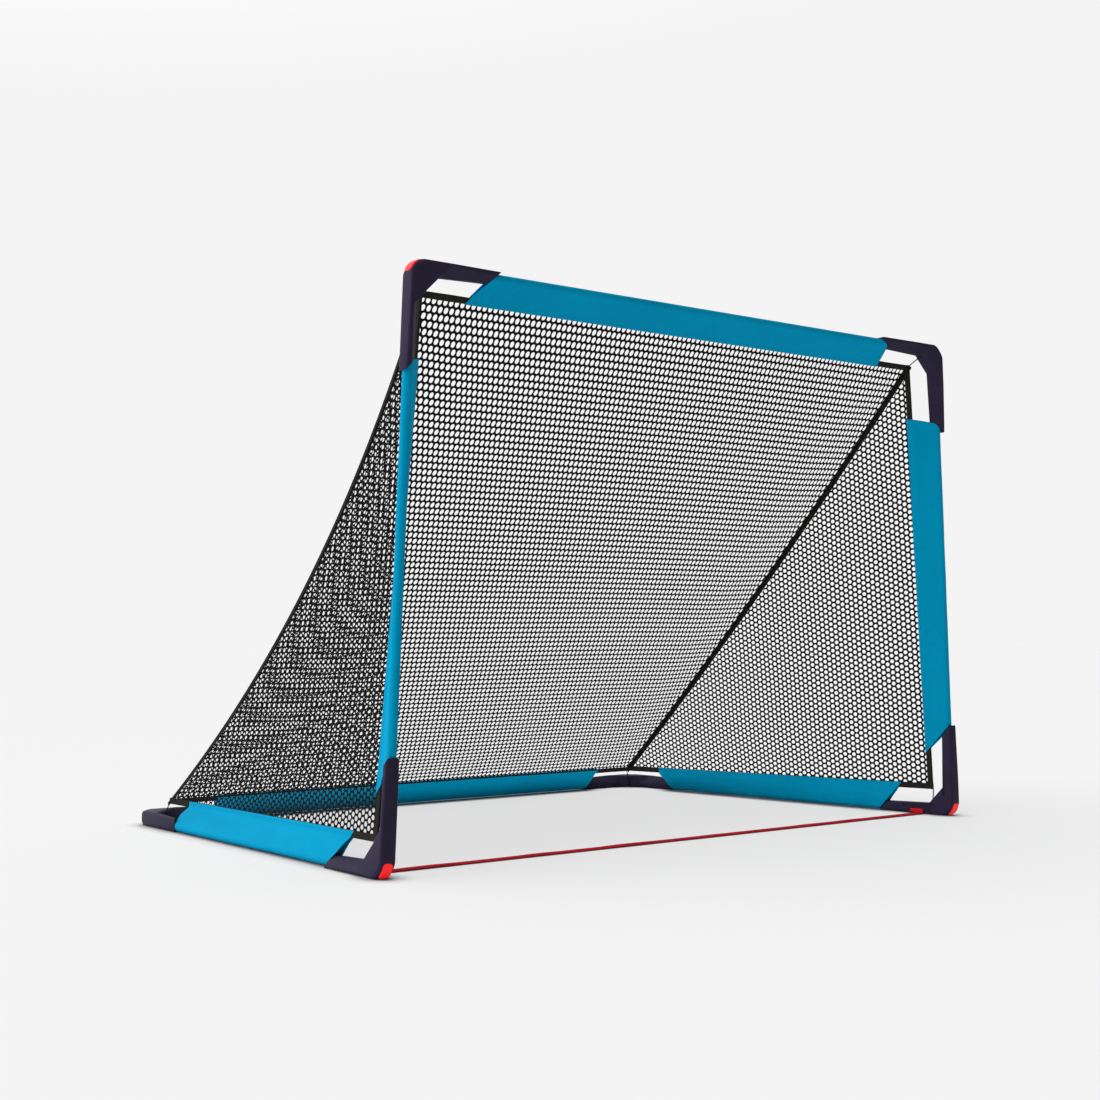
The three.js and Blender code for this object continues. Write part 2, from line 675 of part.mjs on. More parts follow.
[['crossbar', crossMiddle], ['rear', rearMiddle]].forEach(([word, middle]) => {
  const half = new THREE.Vector3(ferruleLength / 2, 0, 0);
  const radius = poleRadius - poleWall - clearance;
  const from = middle.clone().sub(half);
  add(`${word}_ferrule`, tube(from, middle.clone().add(half), radius, ferruleWall), 'steel');
});

add('crossbar_sleeve', sleeve(left.top, right.top, left.netTop, right.netTop,
  left.front, right.front, backNormal, [farEnd, farEnd]), 'sleeve');
add('rear_sleeve', sleeve(left.rear, right.rear, left.netRear, right.netRear,
  left.front, right.front, backNormal, [farEnd, farEnd]), 'sleeve');

const edge = bindingWeb + clearance;
add('back_net', netPanel([right.netTop, right.netRear, left.netRear, left.netTop],
  new THREE.Vector3(1, 0, 0), backNormal, [seamInset, edge, seamInset, edge], false), 'net');
const seamCut = seamLeg + 2 * clearance;
add('back_net_top_binding',
  binding(left.netTop, right.netTop, backNormal, seamCut, seamCut), 'binding');
add('back_net_base_binding',
  binding(right.netRear, left.netRear, backNormal, seamCut, seamCut), 'binding');

const strapOutline = [[-strapEnd, strapLift], [strapEnd, strapLift], [strapEnd, strapRise],
  [strapEnd + strapTongue, strapRise], [strapEnd + strapTongue, strapRise + strapThickness],
  [strapEnd - strapThickness, strapRise + strapThickness],
  [strapEnd - strapThickness, strapLift + strapThickness],
  [strapThickness - strapEnd, strapLift + strapThickness],
  [strapThickness - strapEnd, strapRise + strapThickness],
  [-strapEnd - strapTongue, strapRise + strapThickness], [-strapEnd - strapTongue, strapRise],
  [-strapEnd, strapRise]];
const strapFront = new THREE.Vector3(0, strapMiddle + strapWidth / 2, 0);
add('floor_strap', bar(strapOutline, strapFront, new THREE.Vector3(1, 0, 0),
  new THREE.Vector3(0, -1, 0), strapWidth), 'strap');

// The whole goal stands centred on the origin.
const bounds = new THREE.Box3().setFromObject(goal);
const middle = bounds.getCenter(new THREE.Vector3());
goal.children.forEach((mesh) => mesh.geometry.translate(-middle.x, -middle.y, -bounds.min.z));

export default goal;
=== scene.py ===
import math
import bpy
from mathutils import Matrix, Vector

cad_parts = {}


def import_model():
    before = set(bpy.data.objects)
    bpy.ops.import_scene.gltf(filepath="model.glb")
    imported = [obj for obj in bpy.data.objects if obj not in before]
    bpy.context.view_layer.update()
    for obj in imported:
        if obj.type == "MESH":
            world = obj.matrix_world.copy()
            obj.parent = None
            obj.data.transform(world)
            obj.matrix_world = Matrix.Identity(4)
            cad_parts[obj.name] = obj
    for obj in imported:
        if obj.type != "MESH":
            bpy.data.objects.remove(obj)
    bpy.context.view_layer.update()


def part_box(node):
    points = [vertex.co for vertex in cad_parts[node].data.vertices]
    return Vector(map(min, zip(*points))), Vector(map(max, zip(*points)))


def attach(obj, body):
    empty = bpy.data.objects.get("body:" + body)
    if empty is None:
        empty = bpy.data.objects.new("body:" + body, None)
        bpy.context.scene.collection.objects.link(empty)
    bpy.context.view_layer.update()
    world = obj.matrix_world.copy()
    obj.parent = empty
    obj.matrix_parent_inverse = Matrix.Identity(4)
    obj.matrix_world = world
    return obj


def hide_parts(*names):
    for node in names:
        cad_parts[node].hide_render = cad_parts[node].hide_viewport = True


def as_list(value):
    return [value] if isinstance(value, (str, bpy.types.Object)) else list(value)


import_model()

from types import SimpleNamespace

import bmesh
import bpy
import numpy as np
from mathutils import Matrix, Vector, noise

MM = 0.001

# ---------- sizes in millimetres, as the solids have them ----------
MOUTH_W = 1174.0  # between the axes of the front corners
CROSS_W = 1102.0  # of the top corners
REAR_W = 1098.0  # of the rear corners
RISE = 803.0
DEPTH = 800.0
LEAN = 4.5  # the crossbar stands this far forward of the front corners
REACH = 9.0  # from a pole's axis to its bracket's outer edge
FOOT_REACH = 10.6  # the same, below the base bar at the front
ARM = 152.0
FOOT_ARM = 159.0
ROOT_W = 20.0
TIP_W = 17.0
TIP_SLANT = 18.0
FACET_START = 5.0
FACET_FALL = 16.0
CORNER_R = 23.0
GUSSET = 29.0
FRONT = 15.0  # a bracket's depth from its middle plane, on its outward side
BACK = 9.0  # and on its inward side
CHAMFER = 3.0
SOCKET_R = 5.8
SOCKET_START = 30.0
NOSE = 6.0  # a sleeve's inner radius
CLOTH = 1.0
PLY = 2.1  # half the space between the two faces of a sleeve's tail
FOOT_SLANT = 1.05  # how far a sleeve's end leans along the pole, for each millimetre out
FAR_SLANT = 0.55
SEAM = 5.0
NET_INSET = 36.0
NET_SIDE = 32.0
SIDE_SETBACK = 32.0
SIDE_LIFT = 35.0
SIDE_TUCK = 4.0
BIND_W = 10.0
STRAP_BACK = 54.0
CENTRING = 2.98  # the solids stand centred on their whole box

BASE_Z = BACK
FRONT_Y = (LEAN - DEPTH) / 2 + CENTRING

# ---------- sizes in millimetres that only the scene has ----------
CORNER_STEPS = 14
CORNER_SOFT = 4.5  # how much rounder the edges are at the middle of the outer corner
OUTWARD_FALL = 0.05  # how fast an arm's faces fall away from the corner's
INWARD_FALL = 0.006
TIE_START = 4.0  # the tie's slot, from the start of the gusset
SLOT_HALF = 1.3
INSERT_DEPTH = 3.0
INSERT_PROUD = 0.6
INSERT_HALF = 7.3
INSERT_ROUND = 5.0
INSERT_GAP = 0.3
STRAP_SLOT_Z = 7.75
STRAP_SLOT_HALF = 1.05
LOOSE_NOSE = 7.4  # the base and rear sleeves hang looser on their poles
CROSS_SLANTS = (0.78, 0.6)
TAIL_FAR = 55.0  # where a sleeve's end has leant as much as its slant says
TAPE_HALF = 2.0
SEAM_INNER, SEAM_OUTER = 0.9, 2.3
SEAM_STEPS = 80
STRAP_THICK = 1.5
STRAP_END_Z = 7.0
STRAP_STEPS = 120
TIE_R = 0.9
BOW_IN = 27.0  # how far the nets' shared edges hang inward of a straight line
BOW_DOWN = 32.0  # and below it
NET_CUT = 1.0  # the nets' yarn starts this far inside the sewn edge
NET_CLEAR = 2.5  # an opening's middle lies at least this far inside it
OPEN_SHARE = 0.44
HOLE_SIDES = 12
SIDE_PITCH, SIDE_HOLE = (10.1, 9.74), (8.6, 10.4)
BACK_PITCH, BACK_HOLE = (9.7, 12.1), (8.0, 12.4)

# The side nets' yarn covers about 0.25, so for them this share sets a least area above the measured
# one. For them this share is stated in place of the measured area. The back net's own area is
# larger.
LEAST_AREA_SHARE = 0.302


def corners(side):
    """The corners of the poles' axes and of the nets on one side, -1 for left and 1 for right."""
    front = Vector((side * MOUTH_W / 2, FRONT_Y, BASE_Z))
    top = Vector((side * CROSS_W / 2, FRONT_Y - LEAN, BASE_Z + RISE))
    rear = Vector((side * REAR_W / 2, FRONT_Y + DEPTH, BASE_Z))
    down = rear - top
    down.x = 0
    down.normalize()
    half = min(CROSS_W, REAR_W) / 2 - NET_SIDE
    net_top = Vector((side * half, top.y, top.z)) + down * NET_INSET
    net_rear = Vector((side * half, rear.y, rear.z)) - down * NET_INSET
    base = (rear - front).normalized()
    post = (top - front).normalized()
    net_front = front + base * SIDE_SETBACK + post * SIDE_LIFT - Vector((side * SIDE_TUCK, 0, 0))
    return dict(
        front=front, top=top, rear=rear, net_top=net_top, net_rear=net_rear, net_front=net_front
    )


SIDES = ((-1, "left"), (1, "right"))
C = {side: corners(side) for side, _ in SIDES}
L, R = C[-1], C[1]


# ---------- materials ----------
def lin(*rgb):
    """A linear colour from 0 to 255 sRGB values."""
    out = []
    for c in rgb:
        c /= 255.0
        out.append(c / 12.92 if c <= 0.04045 else ((c + 0.055) / 1.055) ** 2.4)
    return (*out, 1.0)


def woven(nt, coord, height, weave):
    """height with three crossing sets of threads added."""
    waves = []
    for direction in ("X", "Y", "Z"):
        wave = nt.nodes.new("ShaderNodeTexWave")
        wave.bands_direction = direction
        wave.inputs["Scale"].default_value = weave / 20.0
        wave.inputs["Distortion"].default_value = 0.4
        nt.links.new(coord.outputs["Object"], wave.inputs["Vector"])
        waves.append(wave.outputs["Fac"])
    for wave in waves:
        add = nt.nodes.new("ShaderNodeMath")
        add.operation = "ADD"
        nt.links.new(height, add.inputs[0])
        nt.links.new(wave, add.inputs[1])
        height = add.outputs[0]
    return height


def material(name, base, other, rough, spec, mottle_scale, grain, bump, depth=0.0001, metal=0.0,
             weave=None, glow=0.0):
    """A principled material mottled between two colours, with a fine bump. weave sets how close the
    threads lie."""
    m = bpy.data.materials.new(name)
    m.use_nodes = True
    nt = m.node_tree
    nt.nodes.clear()
    out = nt.nodes.new("ShaderNodeOutputMaterial")
    bsdf = nt.nodes.new("ShaderNodeBsdfPrincipled")
    nt.links.new(bsdf.outputs[0], out.inputs[0])
    coord = nt.nodes.new("ShaderNodeTexCoord")
    mottle = nt.nodes.new("ShaderNodeTexNoise")
    mottle.inputs["Scale"].default_value = mottle_scale
    mottle.inputs["Detail"].default_value = 5.0
    nt.links.new(coord.outputs["Object"], mottle.inputs["Vector"])
    ramp = nt.nodes.new("ShaderNodeValToRGB")
    ramp.color_ramp.elements[0].position = 0.35
    ramp.color_ramp.elements[1].position = 0.7
    ramp.color_ramp.elements[0].color = base
    ramp.color_ramp.elements[1].color = other
    nt.links.new(mottle.outputs["Fac"], ramp.inputs["Fac"])
    nt.links.new(ramp.outputs[0], bsdf.inputs["Base Color"])
    bsdf.inputs["Metallic"].default_value = metal
    bsdf.inputs["Specular IOR Level"].default_value = spec
    # emission of the base colour as strong as glow: painted light, a glow for parts that are no lamp
    bsdf.inputs["Emission Color"].default_value = base
    bsdf.inputs["Emission Strength"].default_value = glow
    rough_range = nt.nodes.new("ShaderNodeMapRange")
    rough_range.inputs["To Min"].default_value = rough - 0.06
    rough_range.inputs["To Max"].default_value = rough + 0.06
    nt.links.new(mottle.outputs["Fac"], rough_range.inputs["Value"])
    nt.links.new(rough_range.outputs[0], bsdf.inputs["Roughness"])
    fine = nt.nodes.new("ShaderNodeTexNoise")
    fine.inputs["Scale"].default_value = grain
    fine.inputs["Detail"].default_value = 3.0
    nt.links.new(coord.outputs["Object"], fine.inputs["Vector"])
    height = fine.outputs["Fac"]
    if weave:
        height = woven(nt, coord, height, weave)
    relief = nt.nodes.new("ShaderNodeBump")
    relief.inputs["Strength"].default_value = bump
    relief.inputs["Distance"].default_value = depth
    nt.links.new(height, relief.inputs["Height"])
    nt.links.new(relief.outputs[0], bsdf.inputs["Normal"])
    return m


MAT = dict(
    mould=material("moulding", lin(40, 35, 56), lin(44, 39, 60), rough=0.5, spec=0.06,
                   mottle_scale=30, grain=1800, bump=0.25),
    # the insert's red rubber also glows a little through glow: painted light
    insert=material("corner_rubber", lin(252, 36, 38), lin(240, 30, 33), rough=0.4, spec=0.2,
                    mottle_scale=60, grain=900, bump=0.1, glow=0.3),
    pole=material("pole_paint", lin(60, 62, 66), lin(54, 56, 60), rough=0.35, spec=0.25,
                  mottle_scale=20, grain=700, bump=0.1, metal=0.3),
    sleeve=material("sleeve_cloth", lin(0, 139, 179), lin(0, 144, 185), rough=0.7, spec=0.02,
                    mottle_scale=9, grain=1500, bump=0.4, depth=0.0003, weave=1400),
    # the sleeves' cloth painted lighter for the rear sleeve, to make up for the shade it lies in:
    # painted light
    rear_sleeve=material("rear_sleeve_cloth_painted_lighter", lin(0, 162, 206), lin(0, 167, 212), rough=0.7,
                         spec=0.02, mottle_scale=9, grain=1500, bump=0.4, depth=0.0003, weave=1400),
    stitch=material("stitch_thread", lin(0, 138, 180), lin(0, 144, 187), rough=0.8, spec=0.02,
                    mottle_scale=60, grain=3000, bump=0.3),
    net=material("net_yarn", lin(14, 14, 15), lin(20, 20, 21), rough=0.8, spec=0.03,
                 mottle_scale=40, grain=3000, bump=0.4, depth=0.0002),
    tape=material("edge_tape", lin(40, 39, 37), lin(34, 33, 31), rough=0.85, spec=0.03,
                  mottle_scale=40, grain=1500, bump=0.5, depth=0.0003, weave=2200),
    strap=material("strap_webbing", lin(205, 34, 48), lin(190, 30, 42), rough=0.75, spec=0.05,
                   mottle_scale=30, grain=1500, bump=0.5, depth=0.0003, weave=1600),
    tie=material("tie_elastic", lin(22, 22, 23), lin(30, 30, 31), rough=0.75, spec=0.05,
                 mottle_scale=60, grain=2500, bump=0.5, depth=0.0002, weave=2600),
)


# ---------- mesh helpers ----------
def shade_smooth(me, sharp_from=None):
    me.polygons.foreach_set("use_smooth", [True] * len(me.polygons))
    if sharp_from is not None:
        me.set_sharp_from_angle(angle=math.radians(sharp_from))


def put(name, verts, faces, mat, smooth=False, angle=None):
    """An object from points in millimetres; angle is where its smooth shading breaks."""
    me = bpy.data.meshes.new(name)
    me.from_pydata([tuple(v * MM for v in p) for p in verts], [], faces)
    me.update()
    o = bpy.data.objects.new(name, me)
    bpy.context.scene.collection.objects.link(o)
    me.materials.append(MAT[mat])
    bm = bmesh.new()
    bm.from_mesh(me)
    bmesh.ops.recalc_face_normals(bm, faces=bm.faces)
    bm.to_mesh(me)
    bm.free()
    if smooth or angle is not None:
        shade_smooth(me, angle)
    return o


def own(o, nodes=()):
    """Make o a piece of the goal, in place of the solids that nodes names."""
    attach(o, "root")
    if nodes:
        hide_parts(*nodes)
    return o


def loft(name, rings, mat, angle=35):
    """A closed solid through rings of equally many points."""
    n = len(rings[0])
    verts = [p for r in rings for p in r]
    faces = []
    for k in range(len(rings) - 1):
        for i in range(n):
            j = (i + 1) % n
            faces.append((k * n + i, k * n + j, (k + 1) * n + j, (k + 1) * n + i))
    faces.append(tuple(reversed(range(n))))
    faces.append(tuple(range((len(rings) - 1) * n, len(rings) * n)))
    return put(name, verts, faces, mat, angle=angle)


def tube(name, points, radius, mat, sides=12):
    """A round cord along points, drawn in at its ends."""
    rings = []
    ref = None
    for i, p in enumerate(points):
        before = points[max(i - 1, 0)]
        after = points[min(i + 1, len(points) - 1)]
        t = (after - before).normalized()
        if ref is None:
            ref = t.orthogonal().normalized()
        ref = (ref - t * ref.dot(t)).normalized()
        other = t.cross(ref)
        r = radius * (0.55 if i in (0, len(points) - 1) else 1.0)
        turns = [2 * math.pi * k / sides for k in range(sides)]
        rings.append([p + (ref * math.cos(a) + other * math.sin(a)) * r for a in turns])
    return loft(name, rings, mat, angle=50)


def apply_modifiers(o):
    depsgraph = bpy.context.evaluated_depsgraph_get()
    me = bpy.data.meshes.new_from_object(o.evaluated_get(depsgraph))
    o.modifiers.clear()
    o.data = me


def cut(o, cutter):
    m = o.modifiers.new("cut", "BOOLEAN")
    m.operation = "DIFFERENCE"
    m.solver = "EXACT"
    m.object = cutter
    apply_modifiers(o)
    bpy.data.objects.remove(cutter, do_unlink=True)


def bevel(o, width, segments, angle):
    m = o.modifiers.new("soft", "BEVEL")
    m.width = width
    m.segments = segments
    m.limit_method = "ANGLE"
    m.angle_limit = math.radians(angle)
    apply_modifiers(o)


def box_cutter(xs, ys, zs, place=lambda x, y, z: Vector((x, y, z))):
    verts = [place(x, y, z) for x in xs for y in ys for z in zs]
    faces = [(0, 1, 3, 2), (4, 6, 7, 5), (0, 4, 5, 1), (2, 3, 7, 6), (0, 2, 6, 4), (1, 5, 7, 3)]
    return put("cutter", verts, faces, "mould")


def floor_cut(o):
    """Nothing of o reaches below the floor."""
    cut(o, box_cutter((-1500, 1500), (-1500, 1500), (-60, 0)))


def finish_moulding(o, mat):
    shade_smooth(o.data, 28)
    o.data.materials.clear()
    o.data.materials.append(MAT[mat])


# ---------- brackets ----------
# the points of a bracket's outline; the arc round the outer corner lies before the last one
TIP_A, BACK_A, GUSSET_A, GUSSET_B, BACK_B, TIP_B, KNEE_B = range(7)
KNEE_A = -1


def plane_of(corner, toward_a, toward_b, reach_a):
    """A bracket's plane, its two arms' directions and ways in, and its main points."""
    a = (toward_a - corner).normalized()
    b = (toward_b - corner).normalized()
    n = a.cross(b).normalized()
    square = n.cross(a)
    angle = a.angle(b)

    def world(x, y, z):
        return corner + a * x + square * y + n * z

    def meet(off_a, off_b):
        return Vector(((off_b + off_a * math.cos(angle)) / math.sin(angle), off_a))

    along_a = Vector((1, 0))
    along_b = Vector((math.cos(angle), math.sin(angle)))
    inner = meet(ROOT_W - REACH, ROOT_W - REACH)
    gusset_a, gusset_b = inner + along_a * GUSSET, inner + along_b * GUSSET
    return SimpleNamespace(
        world=world,
        angle=angle,
        along_a=along_a,
        along_b=along_b,
        in_a=Vector((0, 1)),
        in_b=Vector((math.sin(angle), -math.cos(angle))),
        outer=meet(-reach_a, -REACH),
        gusset_a=gusset_a,
        gusset_b=gusset_b,
        gusset_way=(gusset_b - gusset_a).normalized(),
        arc=meet(CORNER_R - reach_a, CORNER_R - REACH),
        arc_from=angle + math.pi / 2,
        extra_a=reach_a - REACH,
    )


def offset_loop(points, amount):
    out = []
    n = len(points)
    for i in range(n):
        p0, p1, p2 = points[i - 1], points[i], points[(i + 1) % n]
        e1 = (p1 - p0).normalized()
        e2 = (p2 - p1).normalized()
        n1 = Vector((-e1.y, e1.x))
        n2 = Vector((-e2.y, e2.x))
        out.append(p1 + (n1 + n2) * (amount / max(0.2, 1 + n1.dot(n2))))
    return out


def bracket_outline(pl, arm):
    tip_a = pl.outer + pl.along_a * arm
    back_a = Vector((tip_a.x - TIP_SLANT, TIP_W - REACH))
    tip_b = pl.outer + pl.along_b * arm
    back_b = pl.outer + pl.along_b * (arm - TIP_SLANT) + pl.in_b * TIP_W
    knee_a = pl.gusset_a - pl.gusset_way * (ROOT_W / abs(pl.gusset_way.dot(pl.in_a)))
    knee_b = pl.gusset_b + pl.gusset_way * (ROOT_W / abs(pl.gusset_way.dot(pl.in_b)))
    arc = []
    for i in range(CORNER_STEPS + 1):
        t = pl.arc_from + (1.5 * math.pi - pl.arc_from) * i / CORNER_STEPS
        arc.append(pl.arc + Vector((math.cos(t), math.sin(t))) * CORNER_R)
    return [tip_a, back_a, pl.gusset_a, pl.gusset_b, back_b, tip_b, knee_b, *arc, knee_a]


def bracket_body(name, pl, loop, away):
    """The bracket with its edges rounded, more so round the outer corner."""
    inset = offset_loop(loop, CHAMFER)
    inward = [(q - p) / CHAMFER for p, q in zip(loop, inset)]
    rounder = [CORNER_SOFT * math.sin(math.pi * i / CORNER_STEPS) for i in range(CORNER_STEPS + 1)]
    soft = [CHAMFER] * 7 + [CHAMFER + more for more in rounder] + [CHAMFER]
    beyond = {TIP_A: (GUSSET_A, KNEE_A), BACK_A: (GUSSET_A, KNEE_A),
              TIP_B: (GUSSET_B, KNEE_B), BACK_B: (GUSSET_B, KNEE_B)}

    def past_corner(i):
        """How far a point of the arms lies beyond the slanted line that bounds the corner's face."""
        if i not in beyond:
            return 0.0
        start, stop = (inset[k] for k in beyond[i])
        e = (stop - start).normalized()
        return abs(e.x * (inset[i].y - start.y) - e.y * (inset[i].x - start.x))

    n = len(loop)
    drop = [past_corner(i) for i in range(n)]
    verts = []
    for s in (-1, 1):
        rate, full = (OUTWARD_FALL, FRONT) if s == away else (INWARD_FALL, BACK)
        for into, down in ((1.0, 0.0), (0.293, 0.293), (0.0, 1.0)):
            for i in range(n):
                q = loop[i] + inward[i] * (soft[i] * into)
                verts.append(pl.world(q.x, q.y, s * (full - soft[i] * down - drop[i] * rate)))
    faces = []
    order = (0, 1, 2, 5, 4, 3)
    for i in range(n):
        j = (i + 1) % n
        for one, two in zip(order, order[1:]):
            faces.append((one * n + i, one * n + j, two * n + j, two * n + i))
    for base in (0, 3 * n):
        faces.append((base + TIP_A, base + BACK_A, base + GUSSET_A, base + n + KNEE_A))
        faces.append((base + GUSSET_B, base + BACK_B, base + TIP_B, base + KNEE_B))
        faces.append(tuple(base + k for k in [GUSSET_A, GUSSET_B, *range(KNEE_B, n)]))
    return put(name, verts, faces, "mould")


def facet_cutter(pl, along, inward, gusset, extra, arm, away):
    """Cuts an arm's outward face away towards the arm's inner edge."""
    lean = pl.gusset_way.dot(along) / pl.gusset_way.dot(inward)
    widest = ROOT_W + 4
    pitch = FACET_FALL / (ROOT_W - FACET_START)
    at = (gusset - pl.outer).dot(along)
    across = (gusset - pl.outer).dot(inward)
    profile = ((FACET_START - 1 / pitch, -1.0), (widest, -1.0),
               (widest, pitch * (widest - FACET_START)))
    rings = []
    for far in (False, True):
        ring = []
        for t, deep in profile:
            start = at + (t + extra - across) * lean + max(0.0, deep) * 0.25
            q = pl.outer + inward * (t + extra) + along * (arm + 30 if far else start)
            ring.append(pl.world(q.x, q.y, away * (FRONT - deep)))
        rings.append(ring)
    return loft("cutter", rings, "mould")


def socket_cutter(pl, along, arm, sides=32):
    inside = pl.world(along.x * SOCKET_START, along.y * SOCKET_START, 0)
    outside = pl.world(along.x * (arm + 20), along.y * (arm + 20), 0)
    t = (outside - inside).normalized()
    r = t.orthogonal().normalized()
    q = t.cross(r)
    turns = [k * math.pi / (sides // 2) for k in range(sides)]
    rings = [[p + (r * math.cos(a) + q * math.sin(a)) * SOCKET_R for a in turns]
             for p in (inside, outside)]
    return loft("cutter", rings, "mould")


def slot_cutter(pl, origin, along, xs, ys, zs):
    """A box in the bracket's plane whose x axis runs along a direction from origin."""
    across = Vector((-along.y, along.x))

    def place(x, y, z):
        q = origin + along * x + across * y
        return pl.world(q.x, q.y, z)

    return box_cutter(xs, ys, zs, place)


def sector(name, pl, turns, radii, gap, half, away, mat, steps=16):
    """A block round the outer corner, between two turns and two radii, with round corners."""
    middle = away * (FRONT - BACK) / 2
    rings = []
    for step in range(-8, 9):
        z = half * math.sin(step * math.pi / 16)
        past = max(0.0, abs(z) - (half - INSERT_ROUND))
        less = (INSERT_ROUND - math.sqrt(INSERT_ROUND ** 2 - past * past) - gap) / CORNER_R
        start, stop = turns[0] + less, turns[1] - less
        ring = []
        for r, order in ((radii[1], range(steps + 1)), (radii[0], range(steps, -1, -1))):
            for i in order:
                t = start + (stop - start) * i / steps
                p = pl.arc + Vector((math.cos(t), math.sin(t))) * r
                ring.append(pl.world(p.x, p.y, middle + z))
        rings.append(ring)
    return loft(name, rings, mat, angle=40)


def add_insert(o, pl, node, foot, away):
    """The soft insert and its seat in the bracket's outer corner."""
    span = math.pi - pl.angle
    # where it starts and stops, in ninetieths of the corner's turn
    turns = [pl.arc_from + span * part / 90 for part in ((1, 64) if foot else (12, 78))]
    seat = (CORNER_R - INSERT_DEPTH - INSERT_GAP, CORNER_R + 5)
    cut(o, sector("cutter", pl, turns, seat, INSERT_GAP, INSERT_HALF + INSERT_GAP, away, "mould"))
    pad = (CORNER_R - INSERT_DEPTH, CORNER_R + INSERT_PROUD)
    piece = sector(node + "_pad", pl, turns, pad, 0.0, INSERT_HALF, away, "insert")
    bevel(piece, 0.0009, 3, 30)
    if foot:
        floor_cut(piece)
    finish_moulding(piece, "insert")
    own(piece, [node])


def cut_foot(o, pl, foot, away):
    """What only a front bracket has: its flat base, its recesses and the strap's slot."""
    floor_cut(o)
    # shallow recesses in the inner face, one on each arm
    depths = sorted((-away * (BACK - 2.0), -away * (BACK + 4)))
    for along, inward, extra, reach in ((pl.along_a, pl.in_a, pl.extra_a, (44, 104)),
                                        (pl.along_b, pl.in_b, 0.0, (36, 92))):
        origin = pl.outer + inward * (11.5 + extra)
        turn = 1 if Vector((-along.y, along.x)).dot(inward) > 0 else -1
        cut(o, slot_cutter(pl, origin, along, reach, sorted((0, turn * 6.5)), depths))
    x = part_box("floor_strap")[1 if foot > 0 else 0][0] / MM
    y = FRONT_Y + STRAP_BACK
    cut(o, box_cutter(sorted((x - foot * 3.0, x + foot)), (y - 3.5, y + 25.5),
                      (STRAP_SLOT_Z - STRAP_SLOT_HALF, STRAP_SLOT_Z + STRAP_SLOT_HALF)))


def bracket(side, word, where, toward_a, toward_b):
    """A corner bracket; returns where the net's tie ends in it."""
    away = -side if where == "rear" else side  # the side of its plane that faces outward
    foot = side if where == "front" else 0
    arm = FOOT_ARM if foot else ARM
    pl = plane_of(C[side][where], toward_a, toward_b, FOOT_REACH if foot else REACH)
    o = bracket_body(f"{word}_{where}_corner", pl, bracket_outline(pl, arm), away)
    for along, inward, gusset, extra in ((pl.along_a, pl.in_a, pl.gusset_a, pl.extra_a),
                                         (pl.along_b, pl.in_b, pl.gusset_b, 0.0)):
        cut(o, facet_cutter(pl, along, inward, gusset, extra, arm, away))
    bevel(o, 0.0006, 2, 18)
    for along in (pl.along_a, pl.along_b):
        cut(o, socket_cutter(pl, along, arm))
    # the tie's slot in the gusset's face
    at = GUSSET * math.sin(pl.angle / 2) if where == "rear" else TIE_START
    slot = pl.gusset_a + pl.gusset_way * at
    cut(o, slot_cutter(pl, slot, pl.gusset_way, (-SLOT_HALF, SLOT_HALF), (-1.0, 6.0),
                       sorted((-20 * away, 3 * away))))
    if where != "rear":
        add_insert(o, pl, f"{word}_{where}_insert", foot, away)
    if foot:
        cut_foot(o, pl, foot, away)
    finish_moulding(o, "mould")
    own(o, [f"{word}_{where}_bracket"])
    return pl.world(slot.x, slot.y, 0)


# ---------- cloth ----------
def face_line(radius, half, reach, way):
    """One face of a sleeve in section: from the tail's end along the net, back to the bend at the
    net's edge, to the pole, round it and out again."""
    bend = Vector((reach, 0))
    end = bend + way * (BIND_W - 0.3)
    square = Vector((-way.y, way.x))
    mitre = (square + Vector((0, 1))) / (1 + square.y)
    ends = [end + square * half * w for w in (1, -1)]
    bends = [bend + mitre * half * w for w in (1, -1)]

    def tangent(p):
        return math.atan2(p.y, p.x) + math.copysign(math.acos(radius / p.length), p.y)

    def on_pole(t):
        return Vector((radius * math.cos(t), radius * math.sin(t)))

    t0, t1 = tangent(bends[0]), 2 * math.pi + tangent(bends[1])
    out = [ends[0].lerp(bends[0], k / 4) for k in range(4)]
    out += [bends[0].lerp(on_pole(t0), k / 8) for k in range(8)]
    out += [on_pole(t0 + (t1 - t0) * k / 24) for k in range(25)]
    out += [on_pole(t1).lerp(bends[1], (k + 1) / 8) for k in range(8)]
    out += [bends[1].lerp(ends[1], (k + 1) / 4) for k in range(4)]
    return out


def stitching(name, rings, stations):
    """A line of stitches on each face of a sleeve's tail, just inside the net's edge."""
    verts, faces = [], []
    half = len(rings[0]) // 2
    for pick, other in ((2, half - 3), (half - 3, 2)):
        for k in range(stations):
            p, q = rings[k][pick], rings[k + 1][pick]
            t = q - p
            size = t.length
            t.normalize()
            face_n = (p - rings[k][other]).normalized()
            w = t.cross(face_n).normalized()
            parts = max(1, int(size / 4.2))
            for e in range(parts):
                a = p + t * size * (e + 0.14) / parts
                b = p + t * size * (e + 0.74) / parts
                base = len(verts)
                for r, f in ((a, 0.3), ((a + b) / 2, 1.0), (b, 0.3)):
                    rise = face_n * (0.05 + 0.25 * f)
                    verts += [r - w * 0.3, r + rise, r + w * 0.3, r - face_n * 0.2]
                for m in (0, 4):
                    for g in range(4):
                        h = (g + 1) % 4
                        faces.append((base + m + g, base + m + h, base + m + 4 + h, base + m + 4 + g))
                faces.append((base, base + 1, base + 2, base + 3))
                faces.append((base + 11, base + 10, base + 9, base + 8))
    return own(put(name, verts, faces, "stitch", smooth=True))


